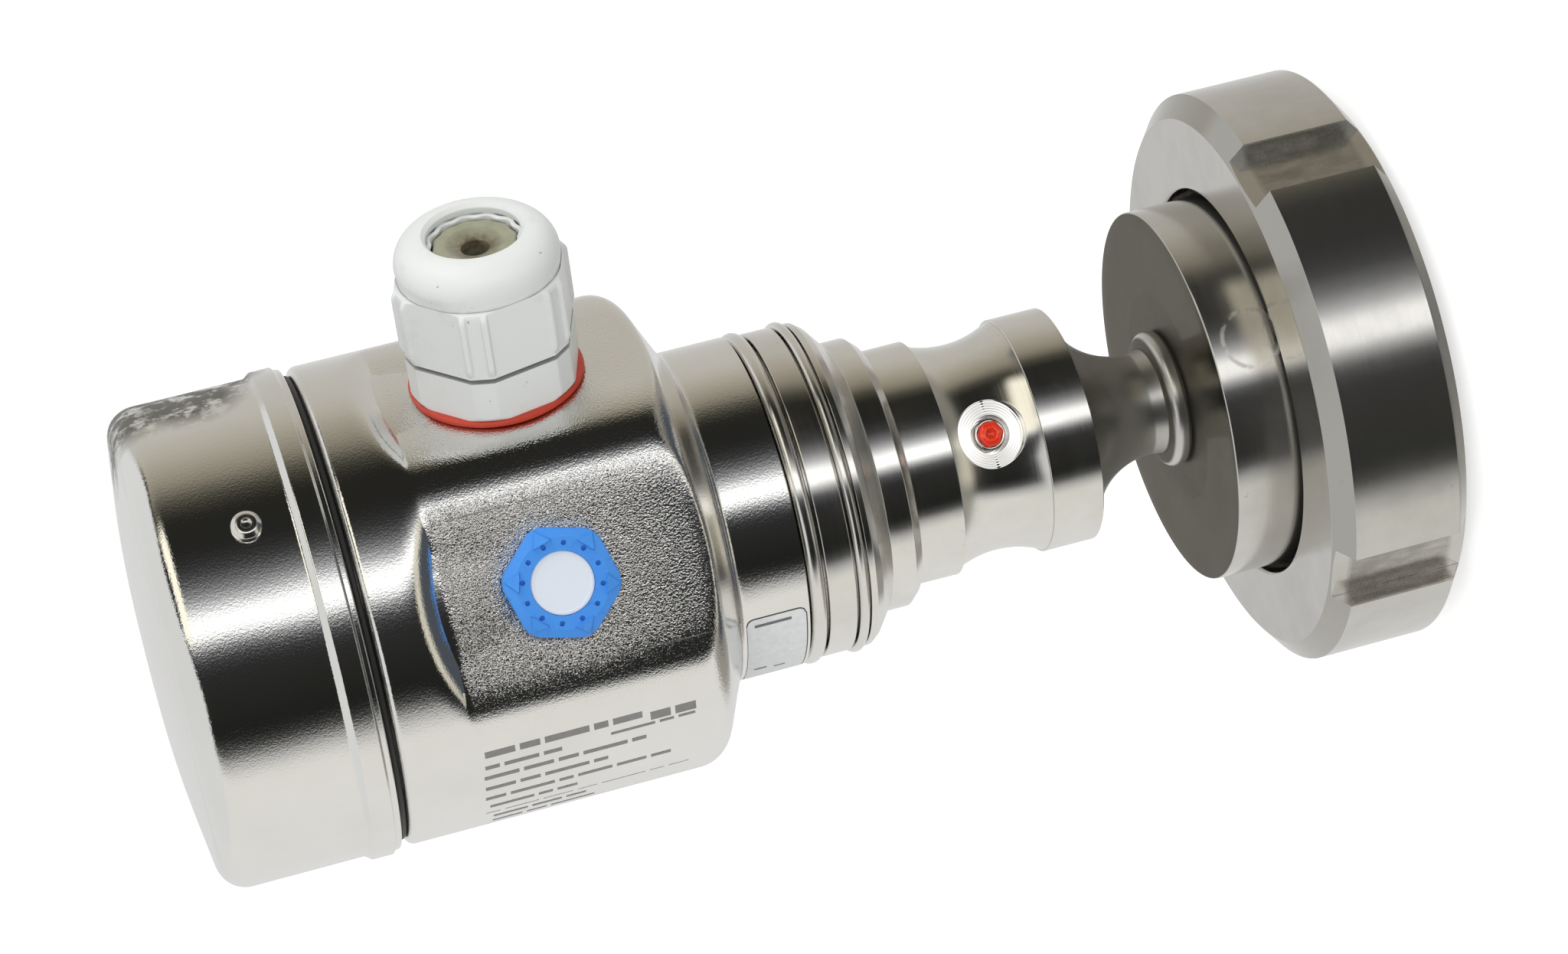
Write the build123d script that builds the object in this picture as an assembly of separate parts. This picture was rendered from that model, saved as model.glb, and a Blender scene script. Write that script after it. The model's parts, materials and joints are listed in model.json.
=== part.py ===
from build123d import *
import os
from math import atan2, cos, degrees, pi, radians, sin, sqrt, tan

# Hygienic pressure transmitter: a diaphragm seal with a slotted union nut at the bottom,
# a stepped and waisted sensor body, and a drawn steel housing with a screw cover on top.
# Millimetres. +Z runs up the common axis from the process face, +X along the cable gland.

# Union nut, round with hook-spanner slots
nut_radius = 46.0
nut_height = 22.0
nut_lift = 2.0
nut_chamfer_height = 2.6
nut_chamfer_depth = 3.4
nut_hole_radius = 31.2
nut_bore_radius = 37.2
nut_seat_radius = 35.2
nut_seat_gap = 0.1
nut_relief_depth = 1.2
nut_relief_height = 2.4
nut_lead_in = 1.5
slot_count = 4
slot_width = 10.6
slot_depth = 3.1
slot_turn = -12.0

# Disc of the diaphragm seal, with the cone that the nut pulls on
disc_radius = 29.8
disc_height = 33.8
collar_radius = 34.2
collar_height = 14.4
collar_face_radius = 31.2
collar_back_rise = 2.8
face_recess_radius = 26.5
face_recess_depth = 0.7
disc_edge = 0.5
membrane_thickness = 0.15
membrane_wave = 0.25
membrane_waves = 4
seat_gap = 0.02

# Stem of the seal: rounded foot ring, hollow curve and collar
foot_radius = 12.1
foot_height = 3.4
foot_round = 2.4
stem_radius = 8.1
stem_curve_radius = 13.0
stem_curve_rise = 4.9
stem_collar_radius = 18.7
stem_length = 25.8
stem_collar_round = 0.3
stem_collar_edge = 0.2
oil_bore_radius = 1.2

# Waisted sensor body
waist_edge_radius = 18.3
waist_radius = 16.6
waist_height = 14.5
step_radius = 18.7
step_edge = 0.5
step_height = 7.5
spigot_radius = 16.0
spigot_length = 6.0
cell_bore_radius = 14.0
cell_floor_rise = 1.9

# Filling port in the waist
port_rise = 7.35
port_turn = -48.9
spotface_radius = 5.35
spotface_distance = 15.7
port_bore_radius = 3.05
port_bore_depth = 3.6
port_thread_radius = 2.2
port_thread_depth = 6.0
port_channel_radius = 0.8
fill_head_radius = 2.45
fill_head_height = 3.4
fill_thread_clearance = 0.05
fill_socket_radius = 1.9
fill_socket_depth = 1.0
lacquer_rise = 1.3

# Stepped neck adapter with two ring grooves
flange_step_radius = 21.5
flange_step_edge = 1.3
land_radius = 25.8
land_slope_height = 3.7
flange_step_height = 6.0
lower_land_rise = 4.0
lower_groove_height = 2.2
upper_land_height = 4.4
ring_groove_depth = 1.9
neck_gap = 3.3
neck_running_gap = 0.06
tube_wall = 3.0
tube_above_ledge = 3.0
ring_side_gap = 0.3
ring_crown_rise = 0.3
neck_seal_thickness = 1.9
neck_seal_rise = 5.0
clip_thickness = 1.2
clip_gap = 0.1
clip_groove_depth = 1.1
clip_width = 4.0
clip_opening = 5.0

# Measuring cell
cell_thickness = 6.0
cell_gap = 0.1
header_radius = 9.5
header_height = 3.0
pin_radius = 0.5
pin_count = 6
pin_circle = 5.5
pin_length = 5.0
clamp_ring_height = 3.6
clamp_notch = 2.4
lead_radius = 0.9
lead_count = 5
lead_circle = 2.0

# Drawn housing pot
wall = 1.5
pot_radius = 37.4
neck_radius = 26.1
neck_length = 10.9
shoulder_slope = 24.0
shoulder_round = 7.0
neck_round = 1.6
ledge_width = 3.6
pot_height = 55.0
pot_rim_round = 1.3
pad_turns = (0.0, -60.0)
pot_seam_turn = 150.0
pad_depth = 3.0
pad_end_gap = 5.5
pad_step_slope = 50.0
pad_edge_round = 1.4
pad_cut_margin = 4.0
entry_depth = 22.8

# Threaded ring in the pot's mouth
ring_depth = 5.8
ring_thread_step = 2.2
ring_ledge_depth = 1.4
ring_wall = 2.2
ring_ledge_width = 5.4
ring_rise = 9.2
cover_seal_thickness = 1.1

# Drawn cover
cover_step = 0.1
cover_gap = 1.2
cover_height = 29.5
cover_corner_fall = 2.7
cover_corner_round = 4.6
cover_flat_radius = 16.0
cover_dome_round = 150.0
lip_width = 0.8
lip_edge_width = 0.2
lip_edge_height = 0.9
lip_height = 4.5
lip_step_height = 0.8
pin_turn = -30.0
pin_rise = 12.1
pin_head_radius = 2.3
pin_head_height = 1.3
pin_shank_radius = 1.3
pin_socket_radius = 0.7
pin_socket_depth = 0.7

# Plastic cable gland
entry_hole_radius = 10.2
gland_shank_radius = 9.9
gland_shank_length = 10.0
gland_bore_radius = 6.4
gland_ring_radius = 13.1
gland_ring_thickness = 1.0
gland_hex_flats = 24.3
gland_hex_turn = 12.5
gland_hex_height = 7.0
gland_corner_cut = 0.6
gland_nut_gap = 0.5
gland_nut_height = 17.5
gland_nut_cylinder = 11.0
gland_dome_radius = 12.0
gland_dome_rise = 6.9
gland_dome_low_round = 5.0
gland_dome_top_radius = 9.0
gland_dome_top_round = 3.2
gland_dome_fall = 3.2
gland_mouth_radius = 7.0
finger_radius = 9.3
finger_wall = 1.6
finger_count = 12
finger_slot = 0.9
finger_slot_depth = 10.0
finger_gap = 0.35
finger_tip_radius = 6.7
insert_bore_radius = 2.15
insert_dish = 0.8
locknut_flats = 24.0
locknut_height = 4.0

# Pressure vent
vent_hole_radius = 6.2
vent_corner_radius = 9.25
vent_corner_round = 3.4
vent_edge_width = 2.4
vent_edge_fall = 1.1
vent_height = 1.9
vent_turn = -14.3
vent_seal_thickness = 0.6
vent_seal_radius = 7.4
vent_shank_radius = 5.9
vent_shank_length = 6.5
vent_bore_radius = 3.2
vent_disc_radius = 4.75
vent_disc_thickness = 0.5
vent_disc_depth = 0.35
vent_dot_count = 12
vent_dot_radius = 0.4
vent_dot_circle = 5.9
vent_dot_depth = 0.4
vent_lug_base = 6.4
vent_lug_tip = 8.6
vent_lug_width = 3.0
vent_lug_rise = 0.3
vent_lug_fall = 0.5
vent_nut_flats = 15.0
vent_nut_height = 2.5

# Electronics under the cover
module_side_gap = 6.0
module_clearance = 3.0
module_flange_thickness = 3.0
module_flange_gap = 0.3
module_edge_round = 1.5
module_screw_inset = 2.8
module_screw_count = 3
module_screw_radius = 1.45
module_screw_head = 2.6
module_screw_head_height = 1.8
module_screw_length = 4.0
screw_hole_gap = 0.15
screw_slot_width = 0.6
screw_slot_depth = 0.7
wire_gate_radius = 3.0
wire_gate_inset = 4.0
wire_gate_turn = 60.0
socket_radius = 5.0
socket_height = 3.0
lead_end_gap = 0.3
block_length = 28.0
block_width = 11.0
block_height = 9.0
block_place = 10.0
terminal_count = 3
terminal_pitch = 8.0
terminal_screw_radius = 1.9
terminal_well_depth = 3.0
terminal_well_reserve = 2.5
terminal_head_rise = 2.0
terminal_screw_length = 4.4
wire_hole_radius = 1.5
bezel_length = 20.0
bezel_width = 8.0
bezel_height = 4.0
bezel_place = -9.0
key_pitch = 9.0
key_radius = 2.0
key_gap = 0.08
key_height = 3.6
key_travel = 0.8
key_cap_rise = 1.2
dip_length = 8.0
dip_width = 6.0
dip_height = 3.0
dip_place = -18.5
dip_pitch = 3.2
dip_slot_width = 1.4
dip_slot_length = 3.4
dip_slot_depth = 1.4
slider_width = 1.1
slider_length = 1.4
slider_height = 1.9
slider_gap = 0.2
ground_place = 21.0
ground_screw_radius = 1.9
ground_head_radius = 3.4
ground_head_height = 2.2
ground_plate = 1.0
ground_plate_side = 8.0

stem_curve_height = disc_height + stem_curve_rise
stem_curve_reach = stem_radius + stem_curve_radius - stem_collar_radius + stem_collar_round
stem_curve_top = stem_curve_height + sqrt(stem_curve_radius**2 - stem_curve_reach**2)
stem_collar_base = stem_curve_top + stem_collar_edge
stem_height = disc_height + stem_length
port_height = stem_height + port_rise
waist_top = stem_height + waist_height
cell_bore_floor = waist_top + cell_floor_rise
body_top = waist_top + step_height
lower_groove_base = body_top + flange_step_height + lower_land_rise
neck_base = lower_groove_base + lower_groove_height + upper_land_height + neck_gap
neck_top = neck_base + neck_length
neck_bore_radius = neck_radius - wall
tube_radius = neck_bore_radius - neck_running_gap
slope = tan(radians(shoulder_slope))
ledge_rise = slope * (neck_bore_radius + ledge_width - neck_radius) + wall / cos(radians(shoulder_slope))
ledge_height = neck_top + ledge_rise
tube_top = ledge_height + tube_above_ledge
pot_rim = neck_top + pot_height
ring_base = pot_rim - ring_depth
ring_ledge = pot_rim - ring_ledge_depth
ring_top = pot_rim + ring_rise
entry_rise = pot_height - ring_depth - entry_depth
entry_height = neck_top + entry_rise
pad_distance = pot_radius - pad_depth
ring_thread_radius = pot_radius - ring_thread_step
ring_bore_radius = ring_thread_radius - ring_wall
ring_ledge_radius = ring_bore_radius - ring_ledge_width
cover_radius = pot_radius - cover_step
lip_radius = cover_radius + lip_width
lip_edge_radius = cover_radius + lip_edge_width
module_radius = ring_ledge_radius - module_side_gap
module_screw_circle = ring_bore_radius - module_screw_inset
wire_gate_circle = ring_bore_radius - wire_gate_inset
pad_length = pot_height - ring_depth - pad_end_gap
cover_base = pot_rim + cover_gap
cover_top = cover_base + cover_height
pin_height = cover_base + pin_rise
module_base = tube_top + module_clearance


def turned(*corners):
    """Solid turned about Z from corners of (radius, height, rounding)."""
    points = [(corner[0], corner[1]) for corner in corners]
    roundings = [corner[2] if len(corner) > 2 else 0 for corner in corners]
    outline = FilletPolyline(*points, radius=roundings, close=True)
    return revolve(Plane.XZ * make_face(outline), Axis.Z)


def disc(radius, low, high, bore=0.0):
    """Plain disc or ring between two heights."""
    return turned((bore, low), (radius, low), (radius, high), (bore, high))


def torus(ring_radius, thickness, height):
    """Round-section ring about Z at a height."""
    section = Plane.XZ * Pos(ring_radius, height) * Circle(thickness / 2)
    return revolve(section, Axis.Z)


def hexagon(flats, low, high, turn=0.0):
    """Hexagonal prism with a corner at the given turn."""
    outline = RegularPolygon(flats / 2, 6, major_radius=False, rotation=turn)
    return Pos(0, 0, low) * extrude(outline, high - low)


def outward(turn, height):
    """Frame whose Z points out of the axis at a turn about it, and whose X points up."""
    direction = Vector(cos(radians(turn)), sin(radians(turn)), 0)
    return Plane(origin=(0, 0, height), x_dir=(0, 0, 1), z_dir=direction)


def around(shape, count, turn=0.0):
    """Copies of a shape spread evenly about Z."""
    return [Rot(0, 0, turn + 360 * index / count) * shape for index in range(count)]


def save(shape, node):
    """Writes one sub-part under its node name."""
    shape.label = node
    export_step(shape, f"parts/{node}.step")


def union_nut():
    """Round nut with a bored back wall, a thread relief and four slots in its rim."""
    front = nut_lift
    back = nut_lift + nut_height
    crest_radius = nut_radius - nut_chamfer_depth
    seat_slope = collar_back_rise / (collar_radius - disc_radius)
    seat_lift = collar_height + nut_seat_gap * sqrt(1 + seat_slope**2)
    seat_top = seat_lift + seat_slope * (collar_radius - nut_hole_radius)
    seat_base = seat_lift + seat_slope * (collar_radius - nut_seat_radius)
    relief_base = seat_base - nut_relief_height
    body = turned(
        (nut_bore_radius + nut_lead_in, front),
        (crest_radius, front),
        (nut_radius, front + nut_chamfer_height),
        (nut_radius, back - nut_chamfer_height),
        (crest_radius, back),
        (nut_hole_radius, back, 0.6),
        (nut_hole_radius, seat_top),
        (nut_seat_radius, seat_base),
        (nut_bore_radius + nut_relief_depth, seat_base),
        (nut_bore_radius + nut_relief_depth, relief_base),
        (nut_bore_radius, relief_base - nut_relief_depth),
        (nut_bore_radius, front + nut_lead_in),
    )
    slot = Pos(nut_radius, 0, nut_height / 2) * Box(2 * slot_depth, slot_width, 2 * nut_height)
    for cutter in around(slot, slot_count, slot_turn):
        body -= cutter
    return body


def seal_disc():
    """Disc of the seal: front cone, back shoulder, cylinder and recessed wetted face."""
    shoulder_top = collar_height + collar_back_rise
    return turned(
        (oil_bore_radius, face_recess_depth),
        (face_recess_radius, face_recess_depth),
        (face_recess_radius, 0),
        (collar_face_radius, 0, 0.5),
        (collar_radius, collar_height, 0.5),
        (disc_radius, shoulder_top),
        (disc_radius, disc_height, disc_edge),
        (oil_bore_radius, disc_height),
    )


def process_diaphragm():
    """Thin membrane in the face recess, pressed into rings of soft waves."""
    rim = face_recess_radius - seat_gap
    top = face_recess_depth - seat_gap
    flat = rim / (2 * membrane_waves + 2)
    points = []
    for index in range(2 * membrane_waves + 1):
        drop = membrane_wave if index % 2 else 0
        points.append((rim - (index + 1) * flat, top - drop))
    upper = [(rim, top)] + points + [(0, top)]
    lower = [(radius, height - membrane_thickness) for radius, height in reversed(upper)]
    return revolve(Plane.XZ * make_face(Polyline(*upper, *lower, close=True)), Axis.Z)


def seal_stem():
    """Foot ring, hollow-curved stem and collar, drilled for the oil."""
    foot_top = disc_height + foot_height
    curve_centre_radius = stem_radius + stem_curve_radius
    curve_end = (stem_collar_radius - stem_collar_round, stem_curve_top)
    sweep = atan2(stem_curve_top - stem_curve_height, stem_curve_reach)
    middle = (
        curve_centre_radius - stem_curve_radius * cos(sweep / 2),
        stem_curve_height + stem_curve_radius * sin(sweep / 2),
    )
    bottom = FilletPolyline(
        (oil_bore_radius, disc_height),
        (foot_radius, disc_height),
        (foot_radius, foot_top),
        (stem_radius, foot_top),
        (stem_radius, stem_curve_height),
        radius=[0, foot_round, 0],
    )
    curve = ThreePointArc((stem_radius, stem_curve_height), middle, curve_end)
    top = Polyline(
        curve_end,
        (stem_collar_radius, stem_collar_base),
        (stem_collar_radius, stem_height),
        (oil_bore_radius, stem_height),
        (oil_bore_radius, disc_height),
    )
    return revolve(Plane.XZ * make_face(bottom + curve + top), Axis.Z)


def sensor_body():
    """Waisted body with the cell's bore on top and the filling port in its waist."""
    waist_middle = (waist_radius, (stem_height + waist_top) / 2)
    waist = ThreePointArc((waist_edge_radius, stem_height), waist_middle, (waist_edge_radius, waist_top))
    rest = Polyline(
        (waist_edge_radius, waist_top),
        (step_radius, waist_top + step_edge),
        (step_radius, body_top),
        (spigot_radius, body_top),
        (spigot_radius, body_top + spigot_length),
        (cell_bore_radius, body_top + spigot_length),
        (cell_bore_radius, cell_bore_floor),
        (oil_bore_radius, cell_bore_floor),
        (oil_bore_radius, stem_height),
        (waist_edge_radius, stem_height),
    )
    body = revolve(Plane.XZ * make_face(waist + rest), Axis.Z)
    port = outward(port_turn, port_height)
    bore_floor = spotface_distance - port_bore_depth
    thread_floor = bore_floor - port_thread_depth
    body -= port * disc(spotface_radius, spotface_distance, step_radius + 1)
    body -= port * disc(port_bore_radius, bore_floor, step_radius)
    body -= port * disc(port_thread_radius, thread_floor, step_radius)
    body -= port * disc(port_channel_radius, 0, step_radius)
    return body


def fill_screw():
    """Screw of the filling port, with a round head and a socket."""
    bore_floor = spotface_distance - port_bore_depth
    head_top = bore_floor + fill_head_height
    shank = port_thread_radius - fill_thread_clearance
    tip = bore_floor - port_thread_depth + 0.5
    screw = turned(
        (0, tip),
        (shank, tip, 0.3),
        (shank, bore_floor),
        (fill_head_radius, bore_floor),
        (fill_head_radius, head_top, 0.3),
        (0, head_top),
    )
    screw -= disc(fill_socket_radius, head_top - fill_socket_depth, head_top + 1)
    return outward(port_turn, port_height) * screw


def fill_seal():
    """Lacquer drop that fills the screw's socket and stands out of it."""
    head_top = spotface_distance - port_bore_depth + fill_head_height
    radius = fill_socket_radius - seat_gap
    drop = turned(
        (0, head_top - fill_socket_depth),
        (radius, head_top - fill_socket_depth),
        (radius, head_top),
        (radius + 0.3, head_top + seat_gap),
        (radius + 0.2, head_top + lacquer_rise, 0.7),
        (0, head_top + lacquer_rise),
    )
    return outward(port_turn, port_height) * drop


def neck_adapter():
    """Stepped ring with two grooves and the tube that the housing's neck runs on."""
    groove_radius = land_radius - ring_groove_depth
    lower_groove_top = lower_groove_base + lower_groove_height
    upper_groove_base = neck_base - neck_gap
    bore = tube_radius - tube_wall
    step_top = body_top + flange_step_height
    seal_floor = tube_radius - neck_seal_thickness
    seal_base = neck_base + neck_seal_rise
    clip_base = ledge_height + clip_gap
    clip_floor = tube_radius - clip_groove_depth
    return turned(
        (spigot_radius + seat_gap, body_top),
        (flange_step_radius - flange_step_edge, body_top),
        (flange_step_radius, body_top + flange_step_edge),
        (flange_step_radius, step_top - 0.4),
        (land_radius - 0.3, lower_groove_base - 0.4, 0.8),
        (land_radius, lower_groove_base),
        (groove_radius, lower_groove_base),
        (groove_radius, lower_groove_top),
        (land_radius, lower_groove_top, 0.2),
        (land_radius, upper_groove_base, 0.2),
        (groove_radius, upper_groove_base),
        (groove_radius, neck_base),
        (tube_radius, neck_base),
        (tube_radius, seal_base),
        (seal_floor, seal_base),
        (seal_floor, seal_base + neck_seal_thickness + 2 * neck_running_gap),
        (tube_radius, seal_base + neck_seal_thickness + 2 * neck_running_gap),
        (tube_radius, clip_base),
        (clip_floor, clip_base),
        (clip_floor, clip_base + clip_thickness + seat_gap),
        (tube_radius, clip_base + clip_thickness + seat_gap),
        (tube_radius, tube_top, 0.4),
        (bore, tube_top),
        (bore, body_top + spigot_length + 1.5),
        (spigot_radius + seat_gap, body_top + spigot_length + 1.5),
    )


def groove_ring(base, height, side_gap):
    """Rounded ring that lies in a groove of the adapter."""
    inner = land_radius - ring_groove_depth + seat_gap
    low = base + side_gap
    high = base + height - side_gap
    crown = (high - low) / 2 - seat_gap
    reach = land_radius + ring_crown_rise
    return turned((inner, low), (reach, low, crown), (reach, high, crown), (inner, high))


def neck_seal():
    """O-ring between the adapter's tube and the housing's neck."""
    middle = tube_radius - neck_seal_thickness / 2 + seat_gap
    height = neck_base + neck_seal_rise + neck_seal_thickness / 2 + neck_running_gap
    return torus(middle, neck_seal_thickness, height)


def retaining_ring():
    """Open spring ring that keeps the housing on the adapter."""
    inner = tube_radius - clip_groove_depth + seat_gap
    base = ledge_height + clip_gap
    ring = disc(inner + clip_width, base, base + clip_thickness, inner)
    ring -= Pos(-inner - clip_width / 2, 0, base) * Box(3 * clip_width, clip_opening, 4 * clip_thickness)
    return ring


def sensor_cell():
    """Pressure capsule at the bottom of the cell bore."""
    radius = cell_bore_radius - cell_gap
    base = cell_bore_floor + seat_gap
    return turned((0, base), (radius, base, 0.8), (radius, base + cell_thickness, 0.8), (0, base + cell_thickness))


def cell_header():
    """Glass-sealed header with its ring of pins."""
    base = cell_bore_floor + 2 * seat_gap + cell_thickness
    body = turned((0, base), (header_radius, base), (header_radius, base + header_height, 0.4), (0, base + header_height))
    pin = Pos(pin_circle, 0, 0) * disc(pin_radius, base + header_height - 0.5, base + header_height + pin_length)
    for copy in around(pin, pin_count):
        body += copy
    return body


def cell_ring():
    """Threaded ring that clamps the cell by its edge."""
    base = cell_bore_floor + 2 * seat_gap + cell_thickness
    outer = cell_bore_radius - cell_gap
    inner = header_radius + cell_gap
    ring = disc(outer, base, base + clamp_ring_height, inner)
    notch = Box(2 * (outer - inner + clamp_notch), clamp_notch, clamp_notch)
    notch = Pos(outer, 0, base + clamp_ring_height) * notch
    for cutter in around(notch, 4, 45):
        ring -= cutter
    return ring


def sensor_leads():
    """Lead bundle from the header up to the electronics."""
    base = cell_bore_floor + 2 * seat_gap + cell_thickness + header_height + seat_gap
    top = module_base - socket_height - lead_end_gap
    lead = Pos(lead_circle, 0, 0) * disc(lead_radius, base, top)
    return Compound(children=around(lead, lead_count))


def pot_profile(inset):
    """Turned form of the pot and its neck, drawn in by an inset, with the neck's upper end at zero height."""
    outer = pot_radius - inset
    neck = neck_radius - inset
    lift = inset / cos(radians(shoulder_slope))
    neck_rise = lift - slope * inset
    corner = slope * (outer - neck_radius) + lift
    rim_round = 0 if inset else pot_rim_round
    return turned(
        (0, -neck_length - inset),
        (neck, -neck_length - inset),
        (neck, neck_rise, 0 if inset else neck_round),
        (outer, corner, shoulder_round - inset),
        (outer, pot_height + inset, rim_round),
        (0, pot_height + inset),
    )


def pad_cutter(turn, inset):
    """Wedge that leaves one flat on the pot, with a sloped step towards the cover."""
    near = pad_distance - inset
    far = pot_radius + pad_cut_margin
    rise = (far - near) * tan(radians(pad_step_slope))
    low = -pad_cut_margin
    end = pad_length + inset * tan(radians(90 - pad_step_slope) / 2)
    outline = Polyline((near, low), (far, low), (far, end + rise), (near, end), close=True)
    wedge = extrude(Plane.XZ * make_face(outline), pot_radius, both=True)
    return Rot(0, 0, turn) * wedge


def housing_pot():
    """Drawn pot with two pressed flats, its neck, a machined ledge and two entries."""
    # The seam of the turned faces lies at the back, clear of both flats
    outer = Rot(0, 0, pot_seam_turn) * pot_profile(0)
    inner = Rot(0, 0, pot_seam_turn) * pot_profile(wall)
    for turn in pad_turns:
        outer -= pad_cutter(turn, 0)
        inner -= pad_cutter(turn, wall)
    outer = soften_pads(outer)
    ledge = disc(neck_bore_radius + ledge_width, -neck_length - wall, ledge_rise)
    pot = outer - (inner - ledge)
    pot -= disc(neck_bore_radius, -neck_length - wall, ledge_rise + wall)
    pot -= outward(pad_turns[0], entry_rise) * disc(entry_hole_radius, 0, pot_radius + wall)
    pot -= outward(pad_turns[1], entry_rise) * disc(vent_hole_radius, 0, pot_radius + wall)
    return Pos(0, 0, neck_top) * pot


def soften_pads(body):
    """Rounds the edges that the flats leave on the drum."""
    edges = []
    for turn in pad_turns:
        direction = Vector(cos(radians(turn)), sin(radians(turn)), 0)
        for edge in body.edges():
            middle = edge.center()
            on_flat = abs(middle.dot(direction) - pad_distance) < 0.02
            if on_flat and 0 < middle.Z < pad_length - 0.5:
                edges.append(edge)
    return fillet(edges, pad_edge_round)


def thread_ring():
    """Ring welded into the pot's mouth: seat for the module and thread for the cover."""
    pot_bore = pot_radius - wall - seat_gap
    return turned(
        (ring_ledge_radius, ring_base),
        (pot_bore, ring_base),
        (pot_bore, pot_rim),
        (ring_thread_radius, pot_rim),
        (ring_thread_radius, ring_top, 0.6),
        (ring_bore_radius, ring_top, 0.6),
        (ring_bore_radius, ring_ledge),
        (ring_ledge_radius, ring_ledge),
    )


def module_bolts(radius, low, high):
    """Round stubs on the circle of the module's screws."""
    stub = Pos(module_screw_circle, 0, 0) * disc(radius, low, high)
    return around(stub, module_screw_count, 90)


def wire_gate():
    """Round way through the ledge and the module's flange for the wires from the gland."""
    way = disc(wire_gate_radius, ring_base - wire_gate_radius, ring_ledge + module_flange_thickness + 1)
    return Rot(0, 0, wire_gate_turn) * Pos(wire_gate_circle, 0, 0) * way


def drilled_thread_ring():
    """The threaded ring with the module's screw holes and its part of the wire gate."""
    ring = thread_ring() - wire_gate()
    for cutter in module_bolts(module_screw_radius + screw_hole_gap, ring_base - 1, ring_ledge + 1):
        ring -= cutter
    return ring


def cover_seal():
    """Ring in the joint between the pot and the cover."""
    return torus(ring_thread_radius + seat_gap + cover_seal_thickness / 2, cover_seal_thickness, (pot_rim + cover_base) / 2)


def cover():
    """Drawn cap with a rolled lip, a rounded corner and a softly domed end."""
    corner = cover_top - cover_corner_fall
    bore = cover_radius - wall
    lip_top = cover_base + lip_height
    cap = turned(
        (bore, cover_base),
        (lip_edge_radius, cover_base, 0.25),
        (lip_edge_radius, cover_base + lip_edge_height),
        (lip_radius, cover_base + lip_edge_height, 0.25),
        (lip_radius, lip_top, 0.3),
        (cover_radius, lip_top + lip_step_height, 0.6),
        (cover_radius, corner, cover_corner_round),
        (cover_flat_radius, cover_top, cover_dome_round),
        (0, cover_top),
        (0, cover_top - wall),
        (cover_flat_radius, cover_top - wall, cover_dome_round - wall),
        (bore, corner - wall, cover_corner_round - wall),
    )
    cap -= outward(pin_turn, pin_height) * disc(pin_shank_radius + seat_gap, 0, lip_radius)
    return cap


def cover_pin():
    """Domed pin in the cover's side, with a small round socket."""
    foot = cover_radius - wall - 1
    seat = cover_radius + seat_gap
    head_top = seat + pin_head_height
    pin = turned(
        (0, foot),
        (pin_shank_radius, foot, 0.3),
        (pin_shank_radius, seat),
        (pin_head_radius, seat),
        (pin_head_radius, head_top, pin_head_height * 0.9),
        (0, head_top),
    )
    pin -= disc(pin_socket_radius, head_top - pin_socket_depth, head_top + 1)
    return outward(pin_turn, pin_height) * pin


gland_seat = pad_distance + gland_ring_thickness
gland_hex_top = gland_seat + gland_hex_height
gland_nut_base = gland_hex_top + gland_nut_gap
gland_nut_top = gland_nut_base + gland_nut_height
gland_dome_base = gland_nut_top - gland_dome_rise
finger_tip = gland_nut_top - 1.6


def gland_ring():
    """Red flat ring under the gland's hexagon."""
    ring = disc(gland_ring_radius, pad_distance + seat_gap, gland_seat - seat_gap, gland_shank_radius + seat_gap)
    return outward(pad_turns[0], entry_height) * ring


def gland_body():
    """Hexagon, threaded shank and clamping fingers in one moulding."""
    shank_end = gland_seat - gland_shank_length
    corner_radius = gland_hex_flats / sqrt(3)
    hexagon_body = hexagon(gland_hex_flats, gland_seat, gland_hex_top, gland_hex_turn)
    rounded = turned(
        (0, gland_seat),
        (corner_radius - gland_corner_cut - 1.1, gland_seat),
        (corner_radius - gland_corner_cut, gland_seat + 1.4),
        (corner_radius - gland_corner_cut, gland_hex_top),
        (0, gland_hex_top),
    )
    body = hexagon_body & rounded
    body += turned(
        (0, shank_end),
        (gland_shank_radius - 0.6, shank_end),
        (gland_shank_radius, shank_end + 0.6),
        (gland_shank_radius, gland_seat + 1),
        (finger_radius, gland_seat + 1),
        (finger_radius, gland_dome_base),
        (finger_tip_radius, finger_tip),
        (0, finger_tip),
    )
    body -= disc(gland_bore_radius, shank_end - 1, gland_hex_top)
    body -= turned(
        (0, gland_hex_top - 1),
        (finger_radius - finger_wall, gland_hex_top - 1),
        (finger_radius - finger_wall, gland_dome_base),
        (finger_tip_radius - finger_wall / 2, finger_tip + 1),
        (0, finger_tip + 1),
    )
    slot = Pos(finger_radius, 0, finger_tip) * Box(2 * finger_wall + 4, finger_slot, 2 * finger_slot_depth)
    for cutter in around(slot, finger_count):
        body -= cutter
    return outward(pad_turns[0], entry_height) * body


def gland_insert():
    """Soft seal inside the fingers, with its cable hole and a dished end."""
    side = finger_radius - finger_wall - seat_gap
    tip_radius = finger_tip_radius - finger_wall / 2 - 0.25
    tip = finger_tip - 0.4
    insert = turned(
        (insert_bore_radius, gland_hex_top - 0.9),
        (side, gland_hex_top - 0.9),
        (side, gland_dome_base - 0.4),
        (tip_radius, tip, 0.4),
        (tip_radius - 1.6, tip),
        (insert_bore_radius, tip - insert_dish),
    )
    return outward(pad_turns[0], entry_height) * insert


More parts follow.
